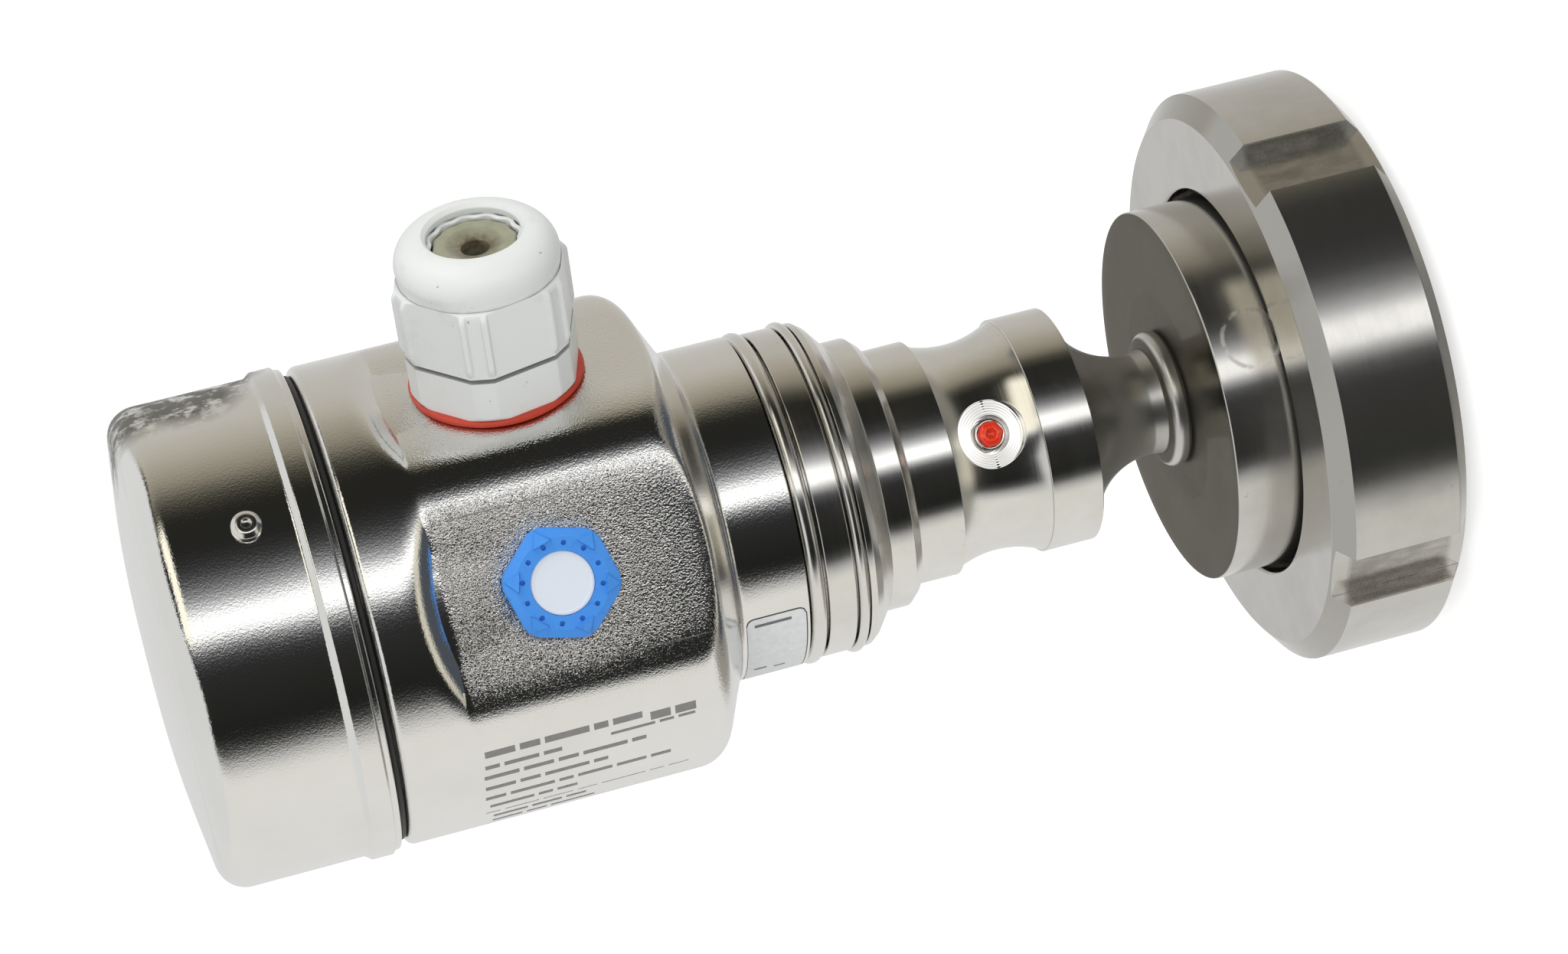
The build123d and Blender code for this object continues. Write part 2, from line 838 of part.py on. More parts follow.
def gland_nut():
    """Domed nut: hexagon whose corners run out into the dome, and an open mouth."""
    corner_radius = gland_hex_flats / sqrt(3)
    hexagon_top = gland_nut_base + gland_nut_cylinder
    outer = hexagon(gland_hex_flats, gland_nut_base, hexagon_top, gland_hex_turn)
    outer &= turned(
        (0, gland_nut_base),
        (corner_radius - gland_corner_cut, gland_nut_base),
        (corner_radius - gland_corner_cut, hexagon_top - 2.2),
        (gland_dome_radius + 0.6, hexagon_top),
        (0, hexagon_top),
    )
    outer += turned(
        (0, hexagon_top - 0.5),
        (gland_dome_radius, hexagon_top - 0.5),
        (gland_dome_radius - 0.1, gland_nut_top - gland_dome_fall, gland_dome_low_round),
        (gland_dome_top_radius, gland_nut_top, gland_dome_top_round),
        (0, gland_nut_top),
    )
    cavity_radius = finger_radius + finger_gap
    outer -= turned(
        (0, gland_nut_base - 1),
        (cavity_radius, gland_nut_base - 1),
        (cavity_radius, gland_dome_base),
        (gland_mouth_radius, finger_tip + finger_gap),
        (gland_mouth_radius, gland_nut_top - 0.5),
        (gland_mouth_radius + 0.5, gland_nut_top),
        (gland_mouth_radius + 0.5, gland_nut_top + 1),
        (0, gland_nut_top + 1),
    )
    return outward(pad_turns[0], entry_height) * outer


def locknut(flats, shank_radius, height):
    """Hexagonal nut against the inner side of a flat."""
    top = pad_distance - wall - seat_gap
    nut = hexagon(flats, top - height, top)
    nut -= disc(shank_radius + seat_gap, top - height - 1, top + 1)
    return nut


def vent_cap():
    """Six-cornered cap with a hollow shank, a ring of small air holes and a wedge on each corner."""
    seat = pad_distance + vent_seal_thickness
    top = seat + vent_height
    outline = RegularPolygon(vent_corner_radius, 6, rotation=vent_turn)
    outline = fillet(outline.vertices(), vent_corner_round)
    cap = Pos(0, 0, seat) * extrude(outline, vent_height)
    cap &= turned(
        (0, seat),
        (vent_corner_radius, seat),
        (vent_corner_radius, top - vent_edge_fall),
        (vent_corner_radius - vent_edge_width, top),
        (0, top),
    )
    corners = ((vent_lug_base, -vent_lug_width / 2), (vent_lug_tip, 0), (vent_lug_base, vent_lug_width / 2))
    lug = Pos(0, 0, top - vent_edge_fall) * extrude(make_face(Polyline(*corners, close=True)), 2 * vent_edge_fall)
    lug &= turned(
        (0, top - vent_edge_fall),
        (vent_lug_tip, top - vent_edge_fall),
        (vent_lug_tip, top - vent_lug_fall),
        (vent_lug_base, top + vent_lug_rise),
        (0, top + vent_lug_rise),
    )
    for wedge in around(lug, 6, vent_turn):
        cap += wedge
    cap += disc(vent_shank_radius, seat - vent_shank_length, seat + 0.5)
    cap -= disc(vent_bore_radius, seat - vent_shank_length - 1, top)
    cap -= disc(vent_disc_radius, top - vent_disc_depth - vent_disc_thickness, top + 1)
    dot = Pos(vent_dot_circle, 0, 0) * disc(vent_dot_radius, top - vent_dot_depth, top + 1)
    for cutter in around(dot, vent_dot_count, vent_turn):
        cap -= cutter
    return outward(pad_turns[1], entry_height) * cap


def vent_membrane():
    """White disc that lets air through and keeps water out."""
    top = pad_distance + vent_seal_thickness + vent_height - vent_disc_depth
    membrane = disc(vent_disc_radius - seat_gap, top - vent_disc_thickness + seat_gap, top)
    return outward(pad_turns[1], entry_height) * membrane


def vent_seal():
    """Dark flat ring under the vent's cap."""
    low = pad_distance + seat_gap
    high = pad_distance + vent_seal_thickness - seat_gap
    ring = disc(vent_seal_radius, low, high, vent_shank_radius + seat_gap)
    return outward(pad_turns[1], entry_height) * ring


def electronics_module():
    """Potted module hanging in the threaded ring by its flange."""
    top = ring_ledge + module_flange_thickness
    flange_radius = ring_bore_radius - module_flange_gap
    body = turned(
        (0, module_base),
        (module_radius, module_base, module_edge_round),
        (module_radius, ring_base - 3),
        (ring_ledge_radius - 0.6, ring_base - 0.5),
        (ring_ledge_radius - 0.6, ring_ledge),
        (flange_radius, ring_ledge),
        (flange_radius, top, 0.6),
        (0, top),
    )
    body -= wire_gate()
    for cutter in module_bolts(module_screw_radius + screw_hole_gap, ring_ledge - 1, top + 1):
        body -= cutter
    return body


def module_socket():
    """Socket under the module for the sensor's leads."""
    top = module_base - seat_gap
    return turned((0, top - socket_height), (socket_radius, top - socket_height, 0.6), (socket_radius, top), (0, top))


def slotted(screw, top, reach):
    """Cuts a driver slot across the top of a screw head."""
    return screw - Pos(0, 0, top) * Box(reach, screw_slot_width, 2 * screw_slot_depth)


def module_screws():
    """The like screws that hold the module's flange."""
    seat = ring_ledge + module_flange_thickness + seat_gap
    head_top = seat + module_screw_head_height
    screw = turned(
        (0, seat - module_flange_thickness - module_screw_length),
        (module_screw_radius, seat - module_flange_thickness - module_screw_length),
        (module_screw_radius, seat),
        (module_screw_head, seat),
        (module_screw_head, head_top, 0.5),
        (0, head_top),
    )
    screw = slotted(screw, head_top, 3 * module_screw_head)
    return Compound(children=around(Pos(module_screw_circle, 0, 0) * screw, module_screw_count, 90))


module_top = ring_ledge + module_flange_thickness
terminal_places = [(index - (terminal_count - 1) / 2) * terminal_pitch for index in range(terminal_count)]


def terminal_block():
    """Block with screw wells on top and wire holes in its outer side."""
    body = Pos(0, block_place, module_top + seat_gap + block_height / 2) * Box(block_length, block_width, block_height)
    body = fillet(body.edges().filter_by(Axis.Z), 1.0)
    top = module_top + seat_gap + block_height
    well_floor = top - terminal_well_depth - terminal_well_reserve
    for place in terminal_places:
        well = disc(terminal_screw_radius + screw_hole_gap, well_floor, top + 1)
        body -= Pos(place, block_place, 0) * well
        hole = Rot(90, 0, 0) * disc(wire_hole_radius, 0, block_width)
        body -= Pos(place, block_place + block_width, module_top + wire_hole_radius + 1) * hole
    return body


def terminal_screws():
    """The like clamp screws of the terminals."""
    top = module_top + block_height - terminal_well_depth + terminal_head_rise
    screw = disc(terminal_screw_radius, top - terminal_screw_length, top)
    screw = slotted(screw, top, 3 * terminal_screw_radius)
    return Compound(children=[Pos(place, block_place, 0) * screw for place in terminal_places])


def key_bezel():
    """Raised guide for the two adjusting keys."""
    height = bezel_height
    body = Pos(0, bezel_place, module_top + seat_gap + height / 2) * Box(bezel_length, bezel_width, height)
    body = fillet(body.edges().filter_by(Axis.Z), 1.5)
    for side in (-1, 1):
        bore = disc(key_radius + key_gap, module_top + 1, module_top + height + 1)
        body -= Pos(side * key_pitch / 2, bezel_place, 0) * bore
    return body


def adjusting_key(side):
    """Round push key in its guide, with a domed cap and room to travel below."""
    low = module_top + 1 + key_travel + 0.2
    top = module_top + bezel_height + key_cap_rise
    key = turned((0, low), (key_radius, low), (key_radius, top, 0.5), (0, top))
    return Pos(side * key_pitch / 2, bezel_place, 0) * key


def dip_block():
    """Small switch block with one slot for each slider."""
    base = module_top + seat_gap
    body = Pos(0, dip_place, base + dip_height / 2) * Box(dip_length, dip_width, dip_height)
    for side in (-1, 1):
        slot = Box(dip_slot_width, dip_slot_length, 2 * dip_slot_depth)
        body -= Pos(side * dip_pitch / 2, dip_place, base + dip_height) * slot
    return body


def dip_slider(side):
    """Slider of one switch, at the inner end of its slot."""
    floor = module_top + seat_gap + dip_height - dip_slot_depth + seat_gap
    place = dip_place + (dip_slot_length - slider_length) / 2 - slider_gap
    slider = Box(slider_width, slider_length, slider_height)
    return Pos(side * dip_pitch / 2, place, floor + slider_height / 2) * slider


def ground_terminal():
    """Screw with a square clamp plate for the inner earth wire."""
    base = module_top + seat_gap
    seat = base + ground_plate
    plate = Pos(0, ground_place, base + ground_plate / 2) * Box(ground_plate_side, ground_plate_side, ground_plate)
    screw = turned((0, seat), (ground_head_radius, seat), (ground_head_radius, seat + ground_head_height, 0.6), (0, seat + ground_head_height))
    screw = slotted(screw, seat + ground_head_height, 3 * ground_head_radius)
    return plate + Pos(0, ground_place, 0) * screw


os.makedirs("parts", exist_ok=True)
lower_ring = groove_ring(lower_groove_base, lower_groove_height, ring_side_gap)
upper_ring = groove_ring(neck_base - neck_gap, neck_gap, ring_side_gap)
gland_lock = locknut(locknut_flats, gland_shank_radius, locknut_height)
vent_lock = locknut(vent_nut_flats, vent_shank_radius, vent_nut_height)
sub_parts = {
    "union_nut": union_nut(),
    "seal_flange": seal_disc(),
    "process_diaphragm": process_diaphragm(),
    "seal_stem": seal_stem(),
    "sensor_body": sensor_body(),
    "fill_screw": fill_screw(),
    "fill_seal": fill_seal(),
    "neck_adapter": neck_adapter(),
    "neck_ring_lower": lower_ring,
    "neck_ring_upper": upper_ring,
    "neck_seal": neck_seal(),
    "retaining_ring": retaining_ring(),
    "sensor_cell": sensor_cell(),
    "cell_header": cell_header(),
    "cell_ring": cell_ring(),
    "sensor_leads": sensor_leads(),
    "housing_pot": housing_pot(),
    "thread_ring": drilled_thread_ring(),
    "cover_seal": cover_seal(),
    "cover": cover(),
    "cover_pin": cover_pin(),
    "gland_ring": gland_ring(),
    "gland_body": gland_body(),
    "gland_insert": gland_insert(),
    "gland_nut": gland_nut(),
    "gland_locknut": outward(pad_turns[0], entry_height) * gland_lock,
    "vent_cap": vent_cap(),
    "vent_membrane": vent_membrane(),
    "vent_seal": vent_seal(),
    "vent_nut": outward(pad_turns[1], entry_height) * vent_lock,
    "electronics_module": electronics_module(),
    "module_socket": module_socket(),
    "module_screws": module_screws(),
    "terminal_block": terminal_block(),
    "terminal_screws": terminal_screws(),
    "key_bezel": key_bezel(),
    "zero_key": adjusting_key(-1),
    "span_key": adjusting_key(1),
    "dip_block": dip_block(),
    "dip_slider_lock": dip_slider(-1),
    "dip_slider_damping": dip_slider(1),
    "ground_terminal": ground_terminal(),
}
for node, shape in sub_parts.items():
    save(shape, node)
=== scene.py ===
"""Looks of a hygienic pressure transmitter, built as an add-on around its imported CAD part."""

import json
from types import SimpleNamespace

import bmesh
import bpy
import numpy as np
from bpy.props import FloatProperty, FloatVectorProperty, IntProperty, PointerProperty
from mathutils import Matrix, Vector

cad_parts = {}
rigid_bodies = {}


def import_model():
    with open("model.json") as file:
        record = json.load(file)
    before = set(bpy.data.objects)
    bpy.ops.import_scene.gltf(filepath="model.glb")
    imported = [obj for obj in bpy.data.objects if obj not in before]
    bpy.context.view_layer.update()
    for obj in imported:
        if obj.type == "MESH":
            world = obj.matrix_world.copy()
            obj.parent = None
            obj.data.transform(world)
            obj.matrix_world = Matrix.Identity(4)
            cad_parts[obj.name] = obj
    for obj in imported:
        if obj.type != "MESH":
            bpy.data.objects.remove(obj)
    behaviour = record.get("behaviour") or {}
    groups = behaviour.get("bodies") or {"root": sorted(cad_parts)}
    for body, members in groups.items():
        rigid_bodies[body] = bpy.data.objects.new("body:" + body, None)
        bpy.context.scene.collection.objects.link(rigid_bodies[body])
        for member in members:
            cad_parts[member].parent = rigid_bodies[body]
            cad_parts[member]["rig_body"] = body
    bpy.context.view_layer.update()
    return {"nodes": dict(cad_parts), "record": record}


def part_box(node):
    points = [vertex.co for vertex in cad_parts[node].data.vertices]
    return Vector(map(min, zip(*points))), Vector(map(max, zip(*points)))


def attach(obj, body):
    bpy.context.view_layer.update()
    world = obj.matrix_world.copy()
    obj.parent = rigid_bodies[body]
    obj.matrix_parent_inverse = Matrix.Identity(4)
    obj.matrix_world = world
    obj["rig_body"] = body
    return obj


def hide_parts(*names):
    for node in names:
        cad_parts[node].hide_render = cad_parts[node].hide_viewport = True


bl_info = {
    "name": "Pressure transmitter",
    "version": (1, 0, 0),
    "blender": (4, 5, 0),
    "location": "View3D > Sidebar > Transmitter",
    "description": "Builds the surfaces, finishes and stage of a hygienic pressure transmitter",
    "category": "Object",
}

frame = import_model()
SLOTS = {part["node"]: part["material_slot"] for part in frame["record"]["subparts"]}
MM = 0.001
TURN = 2 * np.pi
SIXTH = TURN / 6


# Settings of each group of pieces


def size(name, default, description=""):
    """A length, its default given in millimetres and kept in metres."""
    about = description or name
    return FloatProperty(name=name, description=about, default=default * MM, subtype="DISTANCE", precision=5)


def angle(name, default, description=""):
    """A turn, its default given in degrees."""
    about = description or name
    return FloatProperty(name=name, description=about, default=np.radians(default), subtype="ANGLE")


def point(name, default, description):
    """A place in metres."""
    return FloatVectorProperty(name=name, description=description, default=default, subtype="TRANSLATION")


def read(group):
    """A group's settings as plain numbers, lengths in millimetres and turns in radians."""
    values = {}
    for key, setting in group.bl_rna.properties.items():
        if key not in ("rna_type", "name"):
            value = getattr(group, key)
            values[key] = value / MM if setting.subtype == "DISTANCE" else value
    return SimpleNamespace(**values)


class DrumSizes(bpy.types.PropertyGroup):
    """Housing pot and cover."""

    pad_distance: size("Flat distance", 34.4, "Distance of the pressed flats from the axis")
    pad_end: size("Flat end", 156.1, "Height where the flat's sloped step begins")
    pad_slope: angle("Step slope", 50.0, "Slope of the step from the flat to the drum")
    pad_blend: size("Flat blend", 1.7, "Softness of the flat's edges")
    pad_turn: angle("Vent flat turn", -60.0, "Turn of the vent's flat from the gland's flat")
    entry_height: size("Entry height", 138.8, "Height of the gland and the vent")
    wall: size("Wall", 1.5, "Sheet thickness")
    columns: IntProperty(name="Columns", description="Columns around the drum", default=480)


class NutSizes(bpy.types.PropertyGroup):
    """Slotted union nut."""

    chamfer_height: size("Chamfer height", 2.6)
    chamfer_depth: size("Chamfer depth", 3.4)
    hole: size("Hole radius", 31.2, "Radius of the hole in the back wall")
    bore: size("Thread radius", 37.2, "Inner radius of the thread")
    seat: size("Seat radius", 35.2, "Outer radius of the seat on the collar")
    thread_pitch: size("Thread pitch", 4.233)
    thread_depth: size("Thread depth", 1.9)
    slot_width: size("Slot width", 10.6)
    slot_floor: size("Slot floor", 42.9, "Distance of the slot's floor from the axis")
    slot_turn: angle("Slot turn", -12.0)
    edge: size("Edge", 0.22, "Worn edge of the slots and lands")


class GlandSizes(bpy.types.PropertyGroup):
    """Cable gland, measured out from the housing's axis."""

    seat: size("Seat", 35.4, "Underside of the hexagon")
    hex_top: size("Hexagon top", 42.25)
    nut_base: size("Nut base", 43.0)
    hex_end: size("Hexagon end", 55.0, "Where the nut's hexagon runs into the dome")
    top: size("Top", 60.4)
    flats: size("Across flats", 24.3)
    turn: angle("Hexagon turn", 12.5, "Turn of a corner from the housing's axis")
    corner: size("Corner radius", 13.4, "Radius that the corners stay inside")
    facet: size("Corner facet", 13.05, "Distance of the narrow facet across each corner")
    rib: size("Corner rib", 0.5, "Height of the two ribs beside each corner")
    dome: size("Dome radius", 12.25)
    dome_base: size("Dome base", 55.8, "Height where the dome's round begins")
    mouth: size("Mouth radius", 7.0)
    insert: size("Insert radius", 6.1)
    hole: size("Cable hole", 2.1)


class VentSizes(bpy.types.PropertyGroup):
    """Blue pressure vent."""

    seat: size("Seat", 35.0, "Underside of the cap")
    height: size("Height", 1.9)
    corner: size("Corner radius", 9.25, "Radius of the hexagon's corners before rounding")
    corner_round: size("Corner rounding", 3.4)
    plateau: size("Plateau", 6.85, "Radius where the top begins to fall")
    fall: size("Edge fall", 1.1, "Fall of the top from the plateau to a sharp corner")
    turn: angle("Turn", -14.3)
    disc: size("Disc radius", 4.75)
    dot_circle: size("Dot circle", 5.9)
    dot: size("Dot radius", 0.33)
    dots: IntProperty(name="Dots", description="Number of air holes", default=12)
    wedge_base: size("Wedge base", 6.4, "Radius where a wedge begins")
    wedge_tip: size("Wedge tip", 8.6, "Radius where a wedge ends")
    wedge_width: size("Wedge width", 3.0)
    wedge_rise: size("Wedge rise", 0.6, "Height of a wedge over the plateau at its base")


class StageSettings(bpy.types.PropertyGroup):
    """Camera, floor and light."""

    camera_place: point("Camera place", (0.3741, -0.4974, 0.2113), "Camera's place in metres")
    camera_aim: point("Camera aim", (0.00214, 0.0016, 0.09673), "Point that the camera looks at")
    camera_roll: angle("Camera roll", -104.32, "Roll that lays the standing object down as in the photo")
    lens: FloatProperty(name="Lens", description="Focal length in millimetres", default=93.6)
    floor_reach: size("Floor reach", 6000.0, "Half side of the floor")
    floor_glow: FloatProperty(name="Floor glow", description="Light added to the floor", default=0.6)


# Surfaces from arrays


def swept(centre, first, last, steps):
    """Points on the arc about a centre from one arm of it to another."""
    sweep = np.arctan2(first[0] * last[1] - first[1] * last[0], first @ last)
    turns = np.linspace(0, sweep, steps + 1)[:, None]
    across = np.array([-first[1], first[0]])
    return centre + first * np.cos(turns) + across * np.sin(turns)


def rounded(corners, steps=5):
    """Outline through corners of (radius, height, rounding), each rounding an arc.

    An arc of radius q in a corner of half-angle h touches both sides at q / tan(h) from the corner, and its
    points lie at equal turns about the centre, which lies on the corner's middle line at q / sin(h).
    """
    places = np.array([corner[:2] for corner in corners], float)
    outline = []
    for index, corner in enumerate(corners):
        here = places[index]
        rounding = corner[2] if len(corner) > 2 else 0.0
        if rounding <= 0:
            outline.append(here[None])
            continue
        back = places[index - 1] - here
        ahead = places[(index + 1) % len(places)] - here
        back /= np.linalg.norm(back)
        ahead /= np.linalg.norm(ahead)
        half = np.arccos(np.clip(back @ ahead, -1, 1)) / 2
        middle = (back + ahead) / np.linalg.norm(back + ahead)
        centre = here + middle * rounding / np.sin(half)
        start = here + back * rounding / np.tan(half) - centre
        end = here + ahead * rounding / np.tan(half) - centre
        outline.append(swept(centre, start, end, steps))
    return np.concatenate(outline)


def arc(start, middle, end, steps=40):
    """Points on the circle through three points, from the first to the last."""
    a, b, c = (np.array(point, float) for point in (start, middle, end))
    system = 2 * np.array([b - a, c - a])
    centre = np.linalg.solve(system, np.array([b @ b - a @ a, c @ c - a @ a]))
    return swept(centre, a - centre, c - centre, steps)


def refine(outline, step, closed=True):
    """The outline with its long sides cut into even pieces no longer than a step."""
    ahead = np.roll(outline, -1, axis=0)
    length = np.linalg.norm(ahead - outline, axis=1)
    counts = np.maximum(1, np.ceil(length / step)).astype(int)
    if not closed:
        counts[-1] = 1
    start = np.repeat(outline, counts, axis=0)
    along = np.repeat(ahead - outline, counts, axis=0)
    first = np.repeat(np.cumsum(counts) - counts, counts)
    share = (np.arange(counts.sum()) - first) / np.repeat(counts, counts)
    return start + along * share[:, None]


def add_mesh(name, points, quads, sharp=35.0):
    """Mesh object from arrays, welded, with outward faces and edges sharp above an angle."""
    mesh = bpy.data.meshes.new(name)
    mesh.from_pydata((points * MM).tolist(), [], quads.tolist())
    body = bmesh.new()
    body.from_mesh(mesh)
    bmesh.ops.remove_doubles(body, verts=body.verts, dist=2e-6)
    bmesh.ops.dissolve_degenerate(body, edges=body.edges, dist=1e-7)
    loose = [edge for edge in body.edges if not edge.link_faces]
    bmesh.ops.delete(body, geom=loose, context="EDGES")
    bmesh.ops.recalc_face_normals(body, faces=body.faces)
    body.to_mesh(mesh)
    body.free()
    mesh.shade_smooth()
    mesh.set_sharp_from_angle(angle=np.radians(sharp))
    piece = bpy.data.objects.new(name, mesh)
    bpy.context.scene.collection.objects.link(piece)
    return piece


def grid_quads(rows, columns, close_rows=True, close_columns=True):
    """Quads of a grid of points, row by row, joined round its ends where it closes."""
    row = np.arange(rows if close_rows else rows - 1)[:, None]
    column = np.arange(columns if close_columns else columns - 1)[None, :]
    after_row = (row + 1) % rows
    after_column = (column + 1) % columns
    corners = ((row, column), (row, after_column), (after_row, after_column), (after_row, column))
    quads = np.broadcast_arrays(*[down * columns + across for down, across in corners])
    return np.stack(quads, -1).reshape(-1, 4)


def round_points(radius, turns, height, place=None):
    """Points (r cos t, r sin t, z) in one list, carried to a place where one is given."""
    parts = np.broadcast_arrays(radius * np.cos(turns), radius * np.sin(turns), height)
    points = np.stack(parts, -1).reshape(-1, 3)
    return points if place is None else points @ place[:3, :3].T + place[:3, 3]


def turned(name, outline, columns, shape=None, place=None, sharp=35.0):
    """Body of revolution: an outline of (radius, height) carried round the axis.

    A shape function may change the grid of radii and heights first, and a place matrix moves the body from
    its own axis to where it sits.
    """
    turns = np.linspace(0, TURN, columns, endpoint=False)
    radius = np.repeat(outline[:, 0][:, None], columns, axis=1)
    height = np.repeat(outline[:, 1][:, None], columns, axis=1)
    if shape is not None:
        radius, height = shape(radius, height, turns)
    points = round_points(radius, turns, height, place)
    return add_mesh(name, points, grid_quads(len(outline), columns), sharp)


def outward(turn, height):
    """Place whose Z points out of the axis at a turn, and whose X points up the axis."""
    out = np.array([np.cos(turn), np.sin(turn), 0.0])
    up = np.array([0.0, 0.0, 1.0])
    place = np.eye(4)
    place[:3, 0] = up
    place[:3, 1] = np.cross(out, up)
    place[:3, 2] = out
    place[:3, 3] = up * height
    return place


def soft_min(a, b, blend):
    """Smaller of two arrays, with a round transition where they are within the blend."""
    share = np.clip(0.5 + (b - a) / (2 * blend), 0, 1)
    return b + (a - b) * share - blend * share * (1 - share)


def turn_between(turns, target, period=TURN):
    """Signed turn from a target or from the nearest of its repeats, at most half a period either way."""
    return (turns - target + period / 2) % period - period / 2


def hexagon_radius(turns, flats, corner_turn, truncation=np.inf):
    """Radius of a hexagon, a face's distance over the turn's cosine, with a facet across each corner."""
    from_flat = turn_between(turns, corner_turn + SIXTH / 2, SIXTH)
    from_corner = turn_between(turns, corner_turn, SIXTH)
    return np.minimum(flats / 2 / np.cos(from_flat), truncation / np.cos(from_corner))


def cylinder(name, radius, low, high, place):
    """Plain closed cylinder, for cutting."""
    outline = np.array([(0.0, low), (radius, low), (radius, high), (0.0, high)])
    return turned(name, outline, 96, place=place)


def cut(piece, cutters):
    """Takes the cutters' shapes out of a piece and removes the cutters."""
    bpy.context.view_layer.objects.active = piece
    for cutter in cutters:
        step = piece.modifiers.new("cut", "BOOLEAN")
        step.operation = "DIFFERENCE"
        step.solver = "MANIFOLD"
        step.object = cutter
        bpy.ops.object.modifier_apply(modifier=step.name)
        bpy.data.objects.remove(cutter)
    piece.data.shade_smooth()
    piece.data.set_sharp_from_angle(angle=np.radians(30))


def bevel(piece, width):
    """Small softened edge on every sharp corner."""
    step = piece.modifiers.new("edge", "BEVEL")
    step.width = width * MM
    step.segments = 2
    step.limit_method = "ANGLE"
    step.angle_limit = np.radians(30)
    step.harden_normals = True


def stand_for(piece, node):
    """The piece is shown for a CAD node and moves with its body."""
    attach(piece, frame["nodes"][node]["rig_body"])
    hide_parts(node)


# Finishes


class Nodes:
    """Short ways to add nodes to a node tree and join them."""

    def __init__(self, tree):
        self.nodes = tree.nodes
        self.links = tree.links

    def add(self, kind, **values):
        """A node with its settings and its sockets' plain numbers."""
        node = self.nodes.new(kind)
        for key, value in values.items():
            if hasattr(node, key):
                setattr(node, key, value)
            else:
                node.inputs[key.replace("_", " ")].default_value = value
        return node

    def join(self, output, target):
        self.links.new(output, target)

    def feed(self, value, target):
        """Puts a number, a vector, a colour or another node's output into a socket."""
        if isinstance(value, bpy.types.NodeSocket):
            self.join(value, target)
        elif target.type == "RGBA":
            target.default_value = (*value, 1.0)
        else:
            target.default_value = value

    def maths(self, operation, first, second=None):
        """One Math node on sockets or numbers."""
        node = self.add("ShaderNodeMath", operation=operation)
        self.feed(first, node.inputs[0])
        if second is not None:
            self.feed(second, node.inputs[1])
        return node.outputs[0]

    def times(self, *values):
        return self.chain("MULTIPLY", values)

    def plus(self, *values):
        return self.chain("ADD", values)

    def most(self, *values):
        return self.chain("MAXIMUM", values)

    def chain(self, operation, values):
        """One operation carried through several sockets or numbers."""
        result = values[0]
        for value in values[1:]:
            result = self.maths(operation, result, value)
        return result

    def off(self, value, middle):
        """Distance of a value from a middle."""
        return self.maths("ABSOLUTE", self.maths("SUBTRACT", value, middle))

    def split(self, vector):
        """The three parts of a vector."""
        parts = self.add("ShaderNodeSeparateXYZ")
        self.join(vector, parts.inputs[0])
        return parts.outputs

    def vector_maths(self, operation, vector, other=None):
        """One Vector Math node on a socket and a plain vector."""
        node = self.add("ShaderNodeVectorMath", operation=operation)
        self.join(vector, node.inputs[0])
        if other is not None:
            self.feed(other, node.inputs[1])
        return node.outputs["Value" if operation in ("DOT_PRODUCT", "DISTANCE", "LENGTH") else "Vector"]

    def ramp(self, value, low, high, start=0.0, end=1.0):
        """Value between low and high carried to start and end."""
        node = self.add("ShaderNodeMapRange")
        for key, number in (("From Min", low), ("From Max", high), ("To Min", start), ("To Max", end)):
            node.inputs[key].default_value = number
        self.join(value, node.inputs["Value"])
        return node.outputs["Result"]

    def window(self, value, low, full_low, full_high, high):
        """One between the two full values, falling to zero at low and at high."""
        return self.times(self.ramp(value, low, full_low), self.ramp(value, high, full_high))

    def blend(self, share, first, second):
        """Colour between two colours or sockets."""
        node = self.add("ShaderNodeMix", data_type="RGBA")
        self.feed(share, node.inputs[0])
        self.feed(first, node.inputs[6])
        self.feed(second, node.inputs[7])
        return node.outputs[2]


class Room(Nodes):
    """World being built: the direction's turn about the axis and the sine of its height."""

    def __init__(self, world):
        super().__init__(world.node_tree)
        x, y, self.height = self.split(self.add("ShaderNodeTexCoord").outputs["Generated"])
        self.turn = self.maths("ARCTAN2", y, x)

    def colours(self, value, stops):
        """Colour ramp through stops of (place, colour)."""
        ramp = self.add("ShaderNodeValToRGB")
        self.join(value, ramp.inputs["Fac"])
        elements = ramp.color_ramp.elements
        elements[0].position, elements[0].color = stops[0]
        elements[1].position, elements[1].color = stops[-1]
        for place, tone in stops[1:-1]:
            elements.new(place).color = tone
        return ramp.outputs["Color"]


